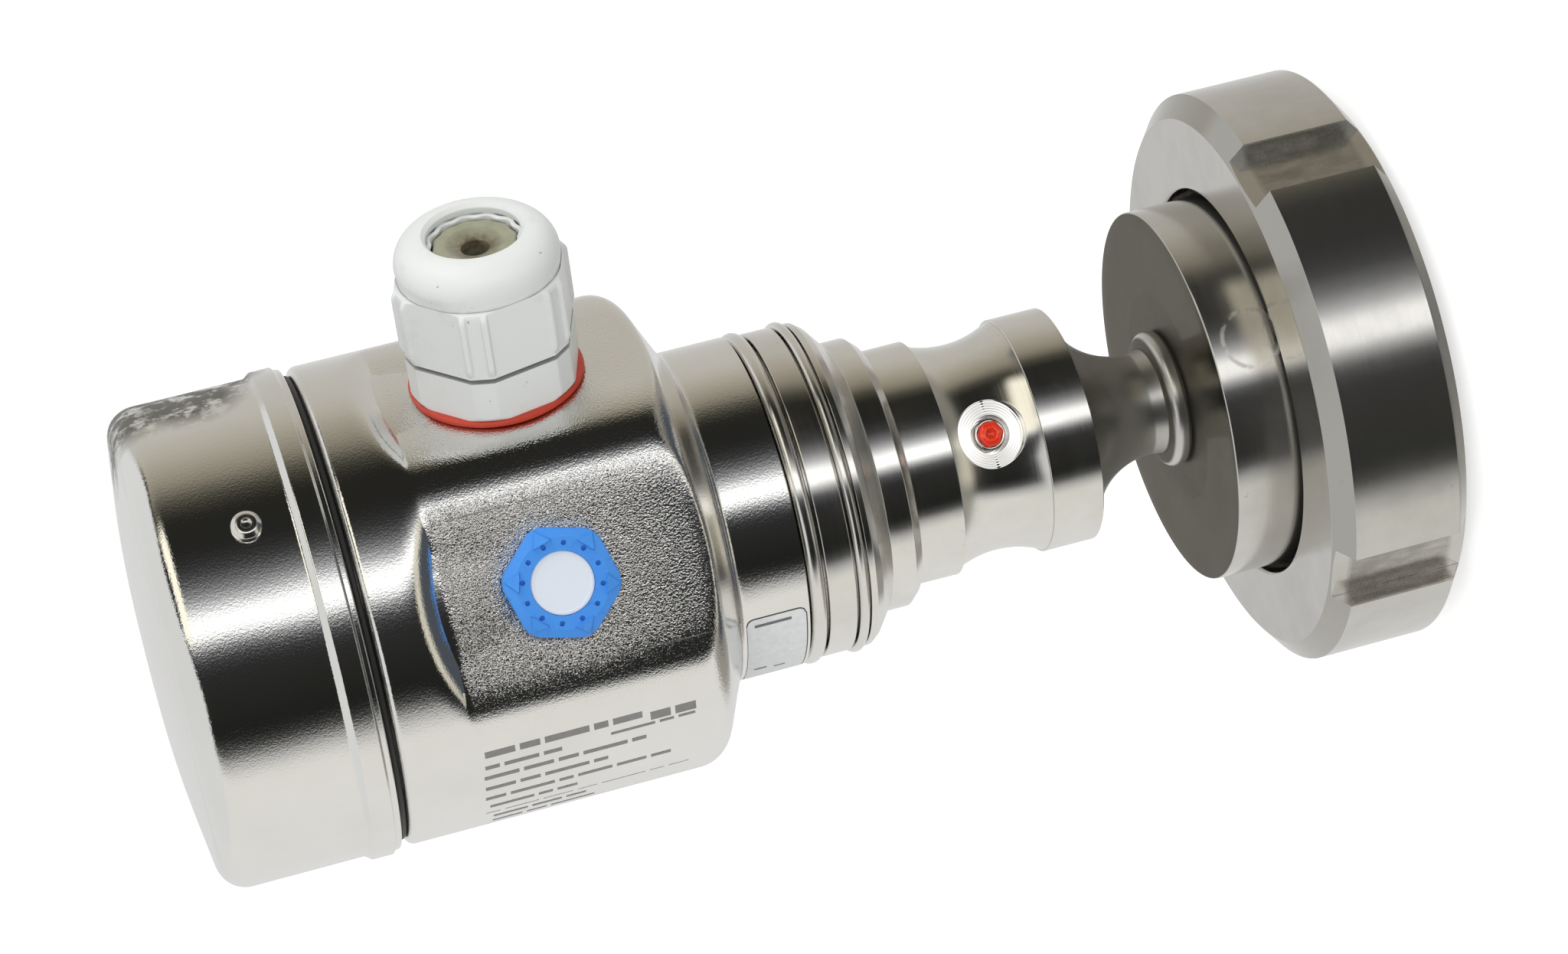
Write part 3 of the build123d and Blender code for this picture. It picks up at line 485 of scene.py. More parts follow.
class Finish(Nodes):
    """A material being built."""

    def __init__(self, name):
        self.material = bpy.data.materials.new(name)
        self.material.use_nodes = True
        super().__init__(self.material.node_tree)
        self.surface = self.nodes["Principled BSDF"]
        self.place = self.add("ShaderNodeTexCoord").outputs["Object"]

    def set(self, **values):
        """Plain numbers on the Principled surface."""
        for key, value in values.items():
            self.surface.inputs[key.replace("_", " ")].default_value = value

    def stretched(self, scale):
        """Object coordinates multiplied by a vector."""
        return self.vector_maths("MULTIPLY", self.place, scale)

    def noise(self, vector, scale, detail, rough=0.5):
        """Noise value at a scale per metre."""
        node = self.add("ShaderNodeTexNoise", Scale=scale, Detail=detail, Roughness=rough)
        self.join(vector, node.inputs["Vector"])
        return node.outputs["Fac"]

    def cloud(self, scale, detail, rough, low, high, start=0.0, end=1.0):
        """Noise at the object's own place, its values between low and high carried to start and end."""
        return self.ramp(self.noise(self.place, scale, detail, rough), low, high, start, end)

    def bump(self, height, strength, distance, after=None):
        """Bump from a height, its strength a number or a socket, chained after another."""
        node = self.add("ShaderNodeBump", Distance=distance)
        self.feed(strength, node.inputs["Strength"])
        self.join(height, node.inputs["Height"])
        if after is not None:
            self.join(after, node.inputs["Normal"])
        return node.outputs["Normal"]

    def away(self, centre):
        """Distance from a point in metres."""
        return self.vector_maths("DISTANCE", self.place, centre)

    def cylinder_place(self):
        """Turn about Z, height and radius as sockets."""
        x, y, height = self.split(self.place)
        level = self.vector_maths("MULTIPLY", self.place, (1, 1, 0))
        return self.maths("ARCTAN2", y, x), height, self.vector_maths("LENGTH", level)

    def near(self, centre, reach, soft):
        """One close to a point and zero beyond its reach, in metres."""
        return self.ramp(self.away(centre), reach, reach - soft)

    def colour(self, value):
        self.join(value, self.surface.inputs["Base Color"])

    def roughness(self, value):
        self.join(value, self.surface.inputs["Roughness"])

    def normal(self, value):
        self.join(value, self.surface.inputs["Normal"])

    def grain(self, scale, detail, strength, depth):
        """Plain grain as the only bump."""
        self.normal(self.bump(self.noise(self.place, scale, detail), strength, depth))


# Places and directions that the finishes go by, in metres
VENT_OUT = (0.5, -0.866, 0.0)
VENT_SIDE = (0.866, 0.5, 0.0)
GLAND_OUT = (1.0, 0.0, 0.0)
CABLE_HOLE = (0.0575, 0.0, 0.1388)
PORT_MIDDLE = (0.0110, -0.0126, 0.06695)
WATER_MARK = (0.02197, -0.02013, 0.0272)
SCUFFS = (
    ((0.0343, 0.0139, 0.1940), 0.013),
    ((0.0350, 0.0125, 0.1840), 0.011),
    ((0.0325, 0.0185, 0.1775), 0.008),
)


def drawn_steel():
    """Electropolished sheet: a mirror finish with a pebbled grain, stains, scratches, painted shade along
    creases and scuffs.

    The grain is deepest on the two pressed flats. A point's place along a flat's outward direction, less the
    flat's distance, tells how near it lies to the flat's plane. A thin dark line of painted shade runs along
    both creases of the vent's flat, and a scuff is a middle and a reach.
    """
    finish = Finish("drawn_steel")
    finish.set(Metallic=1.0)
    stain = finish.noise(finish.place, 38.0, 4.0, 0.6)
    pebble = finish.noise(finish.place, 3000.0, 1.0, 0.5)
    fine = finish.noise(finish.place, 6000.0, 1.0, 0.5)
    dent = finish.noise(finish.place, 48.0, 1.0, 0.4)
    scratch_a = finish.noise(finish.stretched((2600.0, 900.0, 60.0)), 1.0, 3.0, 0.6)
    scratch_b = finish.noise(finish.stretched((90.0, 700.0, 2400.0)), 1.0, 3.0, 0.6)
    lines = finish.most(finish.ramp(scratch_a, 0.70, 0.74), finish.ramp(scratch_b, 0.72, 0.76))
    lines = finish.times(lines, finish.cloud(24.0, 2.0, 0.5, 0.48, 0.6))
    height = finish.split(finish.place)["Z"]
    pot = finish.window(height, 0.1155, 0.1190, 0.1552, 0.1562)
    smoother = finish.ramp(height, 0.1160, 0.1360, 0.3, 1.0)
    flats = []
    for direction in (GLAND_OUT, VENT_OUT):
        along = finish.vector_maths("DOT_PRODUCT", finish.place, direction)
        flats.append(finish.ramp(along, 0.0338, 0.03435))
    pressed = finish.times(finish.most(finish.times(flats[0], 0.35), flats[1]), finish.times(pot, smoother))
    side = finish.maths("ABSOLUTE", finish.vector_maths("DOT_PRODUCT", finish.place, VENT_SIDE))
    # painted shade: a thin dark line along both creases of the vent's flat
    crease_shade = finish.ramp(finish.off(side, 0.0127), 0.00016, 0.00003)
    broken = finish.cloud(110.0, 2.0, 0.6, 0.46, 0.54)
    crease_shade = finish.times(crease_shade, finish.times(pot, flats[1]), broken)
    scuff = finish.most(*[finish.near(centre, reach, 0.005) for centre, reach in SCUFFS])
    scuff = finish.times(scuff, finish.cloud(240.0, 5.0, 0.75, 0.40, 0.52))
    clean = finish.blend(finish.ramp(stain, 0.35, 0.7), (0.82, 0.81, 0.79), (0.77, 0.755, 0.73))
    # real dark scuffs, together with the painted shade lines along the creases
    scuff_and_crease_shade = finish.most(scuff, finish.times(crease_shade, 0.8))
    finish.colour(finish.blend(scuff_and_crease_shade, clean, (0.27, 0.265, 0.25)))
    shine = finish.ramp(fine, 0.3, 0.7, 0.05, 0.12)
    shine = finish.plus(shine, finish.times(lines, 0.2))
    shine = finish.plus(shine, finish.times(pressed, 0.02))
    finish.roughness(finish.plus(shine, finish.times(scuff_and_crease_shade, 0.45)))
    depth = finish.plus(finish.times(pressed, 0.75), finish.plus(finish.times(pot, 0.13), 0.12))
    normal = finish.bump(dent, 0.2, 0.0012)
    normal = finish.bump(pebble, depth, 0.00013, normal)
    normal = finish.bump(fine, depth, 0.00005, normal)
    finish.normal(finish.bump(lines, 0.1, 0.0001, normal))
    return finish.material


def turned_tone(finish, height, upper, stain, mark, slot):
    """Colour of the turned steel, stained and specked.

    The seal and the nut are a little darker than the body above them, the water mark is pale and the slots
    are darker, unevenly. The seal's top face and the nut's chamfer, found by their height and normal,
    carry painted shade, and the top face's reflection is dimmed as well.
    """
    tone = finish.blend(upper, (0.60, 0.585, 0.555), (0.78, 0.765, 0.735))
    deep = finish.blend(upper, (0.52, 0.505, 0.475), (0.71, 0.69, 0.655))
    tone = finish.blend(finish.ramp(stain, 0.4, 0.7), tone, deep)
    tone = finish.blend(finish.times(mark, 0.5), tone, (0.85, 0.85, 0.84))
    # an uneven darker tone in the slots
    slot_darkening = finish.noise(finish.stretched((300.0, 300.0, 90.0)), 1.0, 4.0, 0.7)
    slot_darkening = finish.ramp(slot_darkening, 0.35, 0.6, 0.35, 1.0)
    tone = finish.blend(finish.times(slot, slot_darkening), tone, (0.33, 0.315, 0.285))
    facing = finish.split(finish.add("ShaderNodeTexCoord").outputs["Normal"])["Z"]
    # painted shade: the seal's top face, picked by its height and normal, gets a very dark tone
    upward_face_shade = finish.window(height, 0.0255, 0.0265, 0.038, 0.040)
    upward_face_shade = finish.times(finish.ramp(facing, 0.75, 0.9), upward_face_shade)
    shaded = finish.blend(finish.ramp(stain, 0.35, 0.75), (0.19, 0.182, 0.162), (0.15, 0.142, 0.124))
    tone = finish.blend(upward_face_shade, tone, shaded)
    # painted shade: a darker specular tint dims the reflection on that same face
    tint = finish.blend(upward_face_shade, (1.0, 1.0, 1.0), (0.55, 0.54, 0.51))
    finish.join(tint, finish.surface.inputs["Specular Tint"])
    # painted shade: the nut's chamfer, picked by its height and normal, gets a darker tone
    sloped = finish.window(facing, 0.66, 0.74, 0.86, 0.94)
    sloped = finish.times(sloped, finish.window(height, 0.0205, 0.0210, 0.0250, 0.0255))
    tone = finish.blend(sloped, tone, (0.44, 0.425, 0.39))
    specks = finish.cloud(420.0, 3.0, 0.6, 0.70, 0.75)
    finish.colour(finish.blend(finish.times(specks, 0.4), tone, (0.36, 0.33, 0.30)))


def turned_steel():
    """Turned steel: fine rings about the axis that spread the light along it, stains, specks, a water mark.

    The stem is dull, and the flat ring round the filling port has rings about the port's own middle.
    """
    finish = Finish("turned_steel")
    turn, height, radius = finish.cylinder_place()
    rings = finish.add("ShaderNodeCombineXYZ")
    finish.join(finish.times(height, 4200.0), rings.inputs["Z"])
    finish.join(finish.times(radius, 4200.0), rings.inputs["X"])
    finish.join(finish.times(turn, 0.8), rings.inputs["Y"])
    marks = finish.noise(rings.outputs[0], 1.0, 3.0, 0.7)
    stain = finish.noise(finish.place, 60.0, 5.0, 0.65)
    port = finish.away(PORT_MIDDLE)
    face = finish.ramp(port, 0.00555, 0.00545)
    stem = finish.times(finish.ramp(radius, 0.0176, 0.0166), finish.ramp(height, 0.0535, 0.0515))
    mark = finish.off(finish.away(WATER_MARK), 0.0045)
    broken = finish.cloud(380.0, 3.0, 0.6, 0.40, 0.55)
    mark = finish.times(finish.ramp(mark, 0.0005, 0.0001), broken)
    slot = finish.window(radius, 0.0423, 0.0426, 0.0455, 0.04585)
    slot = finish.times(slot, finish.window(height, 0.0040, 0.0050, 0.0205, 0.0215))
    upper = finish.ramp(height, 0.030, 0.056)
    turned_tone(finish, height, upper, stain, mark, slot)
    finish.join(finish.ramp(upper, 0.0, 1.0, 0.97, 1.0), finish.surface.inputs["Metallic"])
    shine = finish.ramp(marks, 0.25, 0.75, 0.12, 0.19)
    shine = finish.plus(shine, finish.ramp(stain, 0.5, 0.8, 0.0, 0.08))
    for share, more in ((mark, 0.3), (stem, 0.16), (face, -0.06), (slot, 0.1)):
        shine = finish.plus(shine, finish.times(share, more))
    finish.roughness(shine)
    rest = finish.maths("SUBTRACT", 1.0, finish.most(stem, face))
    finish.join(finish.times(rest, 0.7), finish.surface.inputs["Anisotropic"])
    finish.set(Anisotropic_Rotation=0.25)
    waves = finish.times(finish.maths("SINE", finish.times(port, 16000.0)), face)
    normal = finish.bump(marks, 0.10, 0.00003)
    finish.normal(finish.bump(waves, 0.3, 0.00002, normal))
    around = finish.add("ShaderNodeTangent", direction_type="RADIAL", axis="Z")
    finish.join(around.outputs[0], finish.surface.inputs["Tangent"])
    return finish.material


def plain_metal(name, tone, rough):
    """Small metal part with a faint uneven sheen."""
    finish = Finish(name)
    finish.set(Metallic=1.0)
    tint = finish.cloud(300.0, 3.0, 0.5, 0.3, 0.7)
    darker = tuple(0.85 * part for part in tone)
    finish.colour(finish.blend(tint, tone, darker))
    sheen = finish.noise(finish.place, 900.0, 2.0)
    finish.roughness(finish.ramp(sheen, 0.3, 0.7, rough - 0.04, rough + 0.08))
    return finish.material


def grey_plastic():
    """Light grey moulded plastic with rubbed-in dirt, dark specks and painted shade in the slit under the
    gland's nut.
    """
    finish = Finish("grey_plastic")
    finish.set(IOR=1.5)
    dirt = finish.cloud(130.0, 5.0, 0.7, 0.56, 0.78)
    speck = finish.cloud(700.0, 2.0, 0.5, 0.75, 0.79)
    # painted shade: a dark band in the slit between the gland's hexagon and its nut
    gap_shade = finish.ramp(finish.off(finish.split(finish.place)["X"], 0.04262), 0.00042, 0.0003)
    tone = finish.blend(finish.times(dirt, 0.5), (0.70, 0.715, 0.70), (0.54, 0.53, 0.49))
    tone = finish.blend(finish.times(speck, 0.6), tone, (0.16, 0.15, 0.14))
    finish.colour(finish.blend(gap_shade, tone, (0.12, 0.115, 0.10)))
    finish.roughness(finish.ramp(dirt, 0.0, 1.0, 0.34, 0.5))
    finish.grain(1500.0, 2.0, 0.08, 0.0001)
    return finish.material


def soft_part(name, tone, rough, grain=900.0, depth=0.0001, dust=0.0):
    """Rubber or plain plastic with a fine grain and a little dust."""
    finish = Finish(name)
    veil = finish.cloud(240.0, 4.0, 0.6, 0.45, 0.75, 0.0, dust)
    finish.colour(finish.blend(veil, tone, (0.62, 0.60, 0.56)))
    finish.set(Roughness=rough)
    finish.grain(grain, 2.0, 0.15, depth)
    return finish.material


def insert_rubber():
    """Greenish grey seal, stained brown round the cable hole."""
    finish = Finish("insert_rubber")
    finish.set(Roughness=0.3)
    cloud = finish.cloud(260.0, 3.0, 0.6, 0.35, 0.65)
    tone = finish.blend(cloud, (0.33, 0.33, 0.235), (0.27, 0.27, 0.185))
    stain = finish.near(CABLE_HOLE, 0.0046, 0.0022)
    stain = finish.times(stain, finish.cloud(620.0, 3.0, 0.6, 0.3, 0.6, 0.35, 1.0))
    finish.colour(finish.blend(stain, tone, (0.11, 0.085, 0.05)))
    finish.grain(700.0, 1.0, 0.2, 0.0001)
    return finish.material


def blue_plastic():
    """Bright blue plastic with scuffed, darker patches."""
    finish = Finish("blue_plastic")
    tint = finish.cloud(700.0, 4.0, 0.6, 0.60, 0.72)
    finish.colour(finish.blend(finish.times(tint, 0.35), (0.050, 0.26, 0.74), (0.02, 0.11, 0.36)))
    finish.set(Roughness=0.36)
    finish.grain(1600.0, 2.0, 0.12, 0.0001)
    return finish.material


def red_lacquer():
    """Glossy red lacquer, a little uneven."""
    finish = Finish("red_lacquer")
    finish.set(Roughness=0.12, Coat_Weight=0.6)
    tint = finish.noise(finish.place, 900.0, 3.0)
    finish.colour(finish.blend(tint, (0.78, 0.045, 0.012), (0.55, 0.02, 0.006)))
    finish.grain(1100.0, 2.0, 0.35, 0.0004)
    return finish.material


FINISHES = {
    "drawn_steel": drawn_steel,
    "turned_steel": turned_steel,
    "spring_steel": lambda: plain_metal("spring_steel", (0.62, 0.61, 0.60), 0.28),
    "thin_steel": lambda: plain_metal("thin_steel", (0.80, 0.79, 0.77), 0.14),
    "plated_brass": lambda: plain_metal("plated_brass", (0.86, 0.66, 0.32), 0.22),
    "grey_plastic": grey_plastic,
    "white_plastic": lambda: soft_part("white_plastic", (0.66, 0.71, 0.78), 0.6, 2600.0, 0.0002),
    "blue_plastic": blue_plastic,
    "black_plastic": lambda: soft_part("black_plastic", (0.02, 0.02, 0.022), 0.42, dust=0.1),
    "green_plastic": lambda: soft_part("green_plastic", (0.03, 0.17, 0.07), 0.4),
    "insert_rubber": insert_rubber,
    "red_rubber": lambda: soft_part("red_rubber", (0.50, 0.045, 0.02), 0.36, dust=0.06),
    "dark_rubber": lambda: soft_part("dark_rubber", (0.02, 0.02, 0.02), 0.5),
    "red_lacquer": red_lacquer,
    "lead_sleeve": lambda: soft_part("lead_sleeve", (0.35, 0.03, 0.03), 0.4),
}
finishes = {}


def finished(slot):
    """The finish of a material slot, built once."""
    if slot not in finishes:
        finishes[slot] = FINISHES[slot]()
    return finishes[slot]


def wear(piece, slot):
    """Gives a piece only the finish of a slot."""
    piece.data.materials.clear()
    piece.data.materials.append(finished(slot))


def show(piece, node):
    """The piece stands for a CAD node with that node's finish."""
    slot = SLOTS[node]
    wear(piece, slot)
    stand_for(piece, node)
    return piece


# Pieces, with the places of the pin and the port, and the radii of neck and drum
PIN = outward(np.radians(-30), 180.7)
PORT = outward(np.radians(-48.9), 66.95)
NECK = 26.1
DRUM = 37.4
FILM_GAP = 0.03


def heights(node):
    """Lowest and highest point of a CAD node in millimetres."""
    low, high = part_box(node)
    return low.z / MM, high.z / MM


def drum_outline(low, high, inset=0.0):
    """Outline of the pot and neck: straight neck, sloped and rounded shoulder, drum and rounded rim."""
    neck, drum = NECK - inset, DRUM - inset
    return [
        (neck, low), (neck, 112.2 + 0.7 * inset, 1.6), (neck + 3.6, 114.0 + 0.7 * inset, 1.0),
        (drum, 117.6 + 0.9 * inset, 5.2 - inset), (drum, high, 0.0 if inset else 1.3),
    ]


class TRANSMITTER_OT_housing(bpy.types.Operator):
    """Drawn pot with its two pressed flats, and the screw cover with its lip and pin"""

    bl_idname = "transmitter.housing"
    bl_label = "Housing"

    def execute(self, context):
        sizes = read(context.scene.transmitter_drum)
        show(self.pot(sizes, *heights("housing_pot")), "housing_pot")
        show(self.cover(), "cover")
        show(self.pin(), "cover_pin")
        return {"FINISHED"}

    def pot(self, sizes, base, rim):
        """Outer and inner skins of the pot.

        On a flat, the radius is the smaller of the drum's radius and d / cos(t), where t is the turn from the
        flat's middle and d the flat's distance. Above the flat's end d grows with the step's slope.
        """
        outer = rounded([*drum_outline(base, rim), (36.0, rim)], 8)
        kink = [(outer[:, 0].max(), sizes.pad_end + step) for step in (-0.35, 0.0, 0.35, 0.9)]
        place = np.searchsorted(outer[:, 1], sizes.pad_end - 0.4)
        outer = refine(np.insert(outer, place, kink, axis=0), 1.1, False)
        inner = rounded(drum_outline(base, rim, sizes.wall), 4)[::-1]
        outline = np.concatenate([outer, inner])
        skin = np.concatenate([np.zeros(len(outer)), np.full(len(inner), sizes.wall)])

        def press(radius, height, turns):
            step = np.maximum(0, height - sizes.pad_end) / np.tan(sizes.pad_slope)
            blend = sizes.pad_blend * np.clip(0.45 + (height - 115) / 10, 0.45, 1)
            for turn in (0.0, sizes.pad_turn):
                away = turn_between(turns, turn)
                distance = sizes.pad_distance - skin[:, None] + step
                facing = np.cos(np.clip(away, -1.2, 1.2))
                radius = np.where(abs(away) < 1.2, soft_min(radius, distance / facing, blend), radius)
            return radius, height

        pot = turned("housing_pot_skin", outline, sizes.columns, press)
        holes = [
            cylinder("gland_hole", 10.2, 20, 40, outward(0.0, sizes.entry_height)),
            cylinder("vent_hole", 6.2, 20, 40, outward(sizes.pad_turn, sizes.entry_height)),
        ]
        cut(pot, holes)
        return pot

    def cover(self):
        """Cap with a rolled lip, a round corner and a soft dome on its end."""
        base, top = heights("cover")
        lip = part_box("cover")[1].x / MM
        drum = lip - 0.8
        corner = top - 2.7
        outline = [
            (35.8, base), (37.5, base, 0.3), (37.6, base + 0.9, 0.2), (lip, base + 1.2, 0.3),
            (lip, base + 4.4, 0.5), (drum, base + 5.4, 0.9), (drum, corner, 4.6), (16.0, top, 150.0),
            (0.0, top), (0.0, top - 1.5), (16.0, top - 1.5, 100.0), (35.8, corner - 1.5, 3.1),
        ]
        return turned("cover_skin", refine(rounded(outline, 9), 1.6), 384)

    def pin(self):
        """Domed pin in the cover's side with a small socket."""
        shank = [(0.0, 35.3), (1.3, 35.3), (1.3, 37.35), (2.3, 37.35)]
        head = [(2.25, 38.1, 0.3), (1.5, 38.75, 0.8), (0.75, 38.72, 0.1), (0.7, 38.0), (0.0, 38.0)]
        return turned("cover_pin_head", rounded(shank + head), 64, place=PIN)


class TRANSMITTER_OT_neck(bpy.types.Operator):
    """Stepped adapter with its two polished rings, and the waisted body with the filling port"""

    bl_idname = "transmitter.neck"
    bl_label = "Neck"

    def execute(self, context):
        show(self.adapter(), "neck_adapter")
        for node in ("neck_ring_lower", "neck_ring_upper"):
            show(self.ring(node), node)
        show(self.body(), "sensor_body")
        show(self.screw(), "fill_screw")
        show(self.lacquer(), "fill_seal")
        return {"FINISHED"}

    def adapter(self):
        """Steps, lands and grooves outside, and the tube inside the housing's neck."""
        outline = [
            (16.1, 81.6), (20.2, 81.6, 0.2), (21.5, 83.0, 0.3), (21.5, 86.8, 0.4), (24.9, 89.4, 0.7),
            (25.8, 90.6, 0.4), (25.8, 91.6, 0.15), (23.9, 91.6), (23.9, 93.8), (25.8, 93.8, 0.25),
            (25.8, 98.2, 0.25), (23.9, 98.2), (23.9, 101.5), (24.5, 101.5), (24.5, 118.0, 0.3),
            (21.5, 118.0), (21.5, 89.2), (16.1, 89.2),
        ]
        return turned("neck_adapter_skin", refine(rounded(outline, 5), 2.0), 320)

    def ring(self, node):
        """Ring with a round crown, 0.3 mm prouder than in the CAD part for the light that it catches."""
        base, top = heights(node)
        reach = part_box(node)[1].y / MM + 0.3
        crown = (top - base) / 2 - 0.02
        outline = [(23.95, base), (reach, base, crown), (reach, top, crown), (23.95, top)]
        return turned(node + "_skin", rounded(outline, 8), 320)

    def body(self):
        """Waist as an arc between two edges, with a step above it and the port cut into it."""
        waist = arc((18.35, 59.65), (16.6, 66.4), (18.0, 73.8))
        step = [(18.75, 74.1, 0.15), (18.7, 81.6, 0.5), (16.0, 81.6), (16.0, 87.6), (14.0, 87.6)]
        inside = [(14.0, 76.0), (1.2, 76.0), (1.2, 59.6), (18.3, 59.6)]
        body = turned("sensor_body_skin", np.concatenate([waist, rounded(step + inside, 4)]), 320)
        bores = (("spotface", 5.35, 15.7, 20), ("port", 3.05, 12.1, 18), ("channel", 2.2, 6.0, 14))
        cut(body, [cylinder(*bore, PORT) for bore in bores])
        bevel(body, 0.12)
        return body

    def screw(self):
        """Round head with a rolled edge and a round socket."""
        shank = [(0.0, 6.6), (2.15, 6.6), (2.15, 12.1), (2.45, 12.1)]
        head = [(2.45, 15.5, 0.25), (1.92, 15.5, 0.12), (1.92, 14.5), (0.0, 14.5)]
        return turned("fill_screw_head", rounded(shank + head), 64, place=PORT)

    def lacquer(self):
        """Uneven drop of lacquer with a dimple, standing out of the socket."""
        sunk = [(0.0, 14.5), (1.88, 14.5), (1.88, 15.5)]
        drop = [(2.0, 15.55, 0.05), (1.95, 16.45, 0.6), (0.9, 16.75, 0.3), (0.55, 16.1, 0.2), (0.0, 15.9)]

        def wobble(radius, height, turns):
            lobes = 1 + 0.04 * np.cos(6 * turns) + 0.02 * np.sin(2 * turns)
            return np.where(height > 15.52, radius * lobes, radius), height

        return turned("fill_seal_drop", rounded(sunk + drop, 6), 72, wobble, PORT)


class TRANSMITTER_OT_seal(bpy.types.Operator):
    """Diaphragm seal: stem with its collar and foot ring, disc and corrugated membrane"""

    bl_idname = "transmitter.seal"
    bl_label = "Seal"

    def execute(self, context):
        show(self.stem(), "seal_stem")
        show(self.disc(), "seal_flange")
        show(self.membrane(), "process_diaphragm")
        return {"FINISHED"}

    def stem(self):
        """Foot ring, a quarter-round hollow up to the collar's sharp edge, and the collar."""
        foot = rounded([(1.2, 33.8), (10.4, 33.8), (10.9, 34.4, 0.3), (10.9, 36.5, 1.6), (8.7, 36.9, 1.0)], 9)
        hollow = arc((8.1, 38.7), (11.0, 46.88), (18.4, 51.42))
        collar = rounded([(18.7, 51.62), (18.7, 59.6, 0.1), (1.2, 59.6)], 5)
        return turned("seal_stem_skin", np.concatenate([foot, hollow, collar]), 320)

    def disc(self):
        """Disc with its collar cone, back shoulder and recessed wetted face."""
        outline = [
            (1.2, 0.7), (26.5, 0.7), (26.5, 0.0, 0.1), (31.2, 0.0, 0.5), (34.2, 14.4, 0.5),
            (29.8, 17.2, 0.2), (29.8, 33.8, 0.35), (1.2, 33.8),
        ]
        return turned("seal_flange_skin", refine(rounded(outline, 5), 2.5), 320)

    def membrane(self):
        """Thin membrane whose height follows a cosine of the radius between its rim and its middle."""
        radius = np.linspace(0.0, 26.45, 90)
        wave = 0.5 - 0.5 * np.cos(TURN * np.clip((radius - 4.0) / 4.6, 0, 4))
        top = np.stack([radius, 0.64 - 0.22 * wave], -1)
        bottom = np.stack([radius, 0.52 - 0.22 * wave], -1)
        return turned("process_diaphragm_skin", np.concatenate([bottom, top[::-1]]), 192, sharp=60)


class TRANSMITTER_OT_nut(bpy.types.Operator):
    """Slotted union nut with its round thread"""

    bl_idname = "transmitter.nut"
    bl_label = "Union nut"

    def execute(self, context):
        show(self.nut(read(context.scene.transmitter_nut)), "union_nut")
        return {"FINISHED"}

    def nut(self, sizes):
        """Chamfered ring with a round thread inside and slots across its rim.

        The thread is a helix: the bore's radius grows by half the depth times one plus the cosine of the
        height over the pitch less the turn, faded out at both ends of the thread.
        """
        base, top = heights("union_nut")
        reach = 46.0
        crest = reach - sizes.chamfer_depth
        outline = [
            (crest, base), (reach, base + sizes.chamfer_height), (reach, top - sizes.chamfer_height),
            (crest, top), (sizes.hole, top, 0.6), (sizes.hole, 16.45), (sizes.seat, 13.9),
            (38.4, 13.9), (38.4, 11.6), (sizes.bore, 10.6), (sizes.bore, base + 1.2),
            (sizes.bore + 1.4, base),
        ]
        outline = refine(rounded(outline, 4), 0.7)

        def helix(radius, height, turns):
            inside = (abs(radius - sizes.bore) < 0.2) & (height > base + 0.9) & (height < 10.7)
            fade = np.clip((height - base - 1.2) / 1.5, 0, 1) * np.clip((10.6 - height) / 1.5, 0, 1)
            wave = 0.5 + 0.5 * np.cos(TURN * height / sizes.thread_pitch - turns)
            return np.where(inside, radius + sizes.thread_depth * wave * fade, radius), height

        nut = turned("union_nut_skin", outline, 240, helix)
        turns = sizes.slot_turn + np.arange(4) * TURN / 4
        cut(nut, [self.slot(turn, sizes, base, top) for turn in turns])
        bevel(nut, sizes.edge)
        return nut

    def slot(self, turn, sizes, base, top):
        """Box that stands across the rim at a turn."""
        across, half = (sizes.slot_floor, 50.0), sizes.slot_width / 2
        corners = np.array([(x, y, z) for x in across for y in (-half, half) for z in (base - 2, top + 2)])
        spin = np.array([(np.cos(turn), -np.sin(turn), 0), (np.sin(turn), np.cos(turn), 0), (0, 0, 1)])
        quads = np.array([(0, 1, 3, 2), (4, 6, 7, 5), (0, 4, 5, 1), (2, 3, 7, 6), (0, 2, 6, 4), (1, 5, 7, 3)])
        return add_mesh("slot", corners @ spin.T, quads)


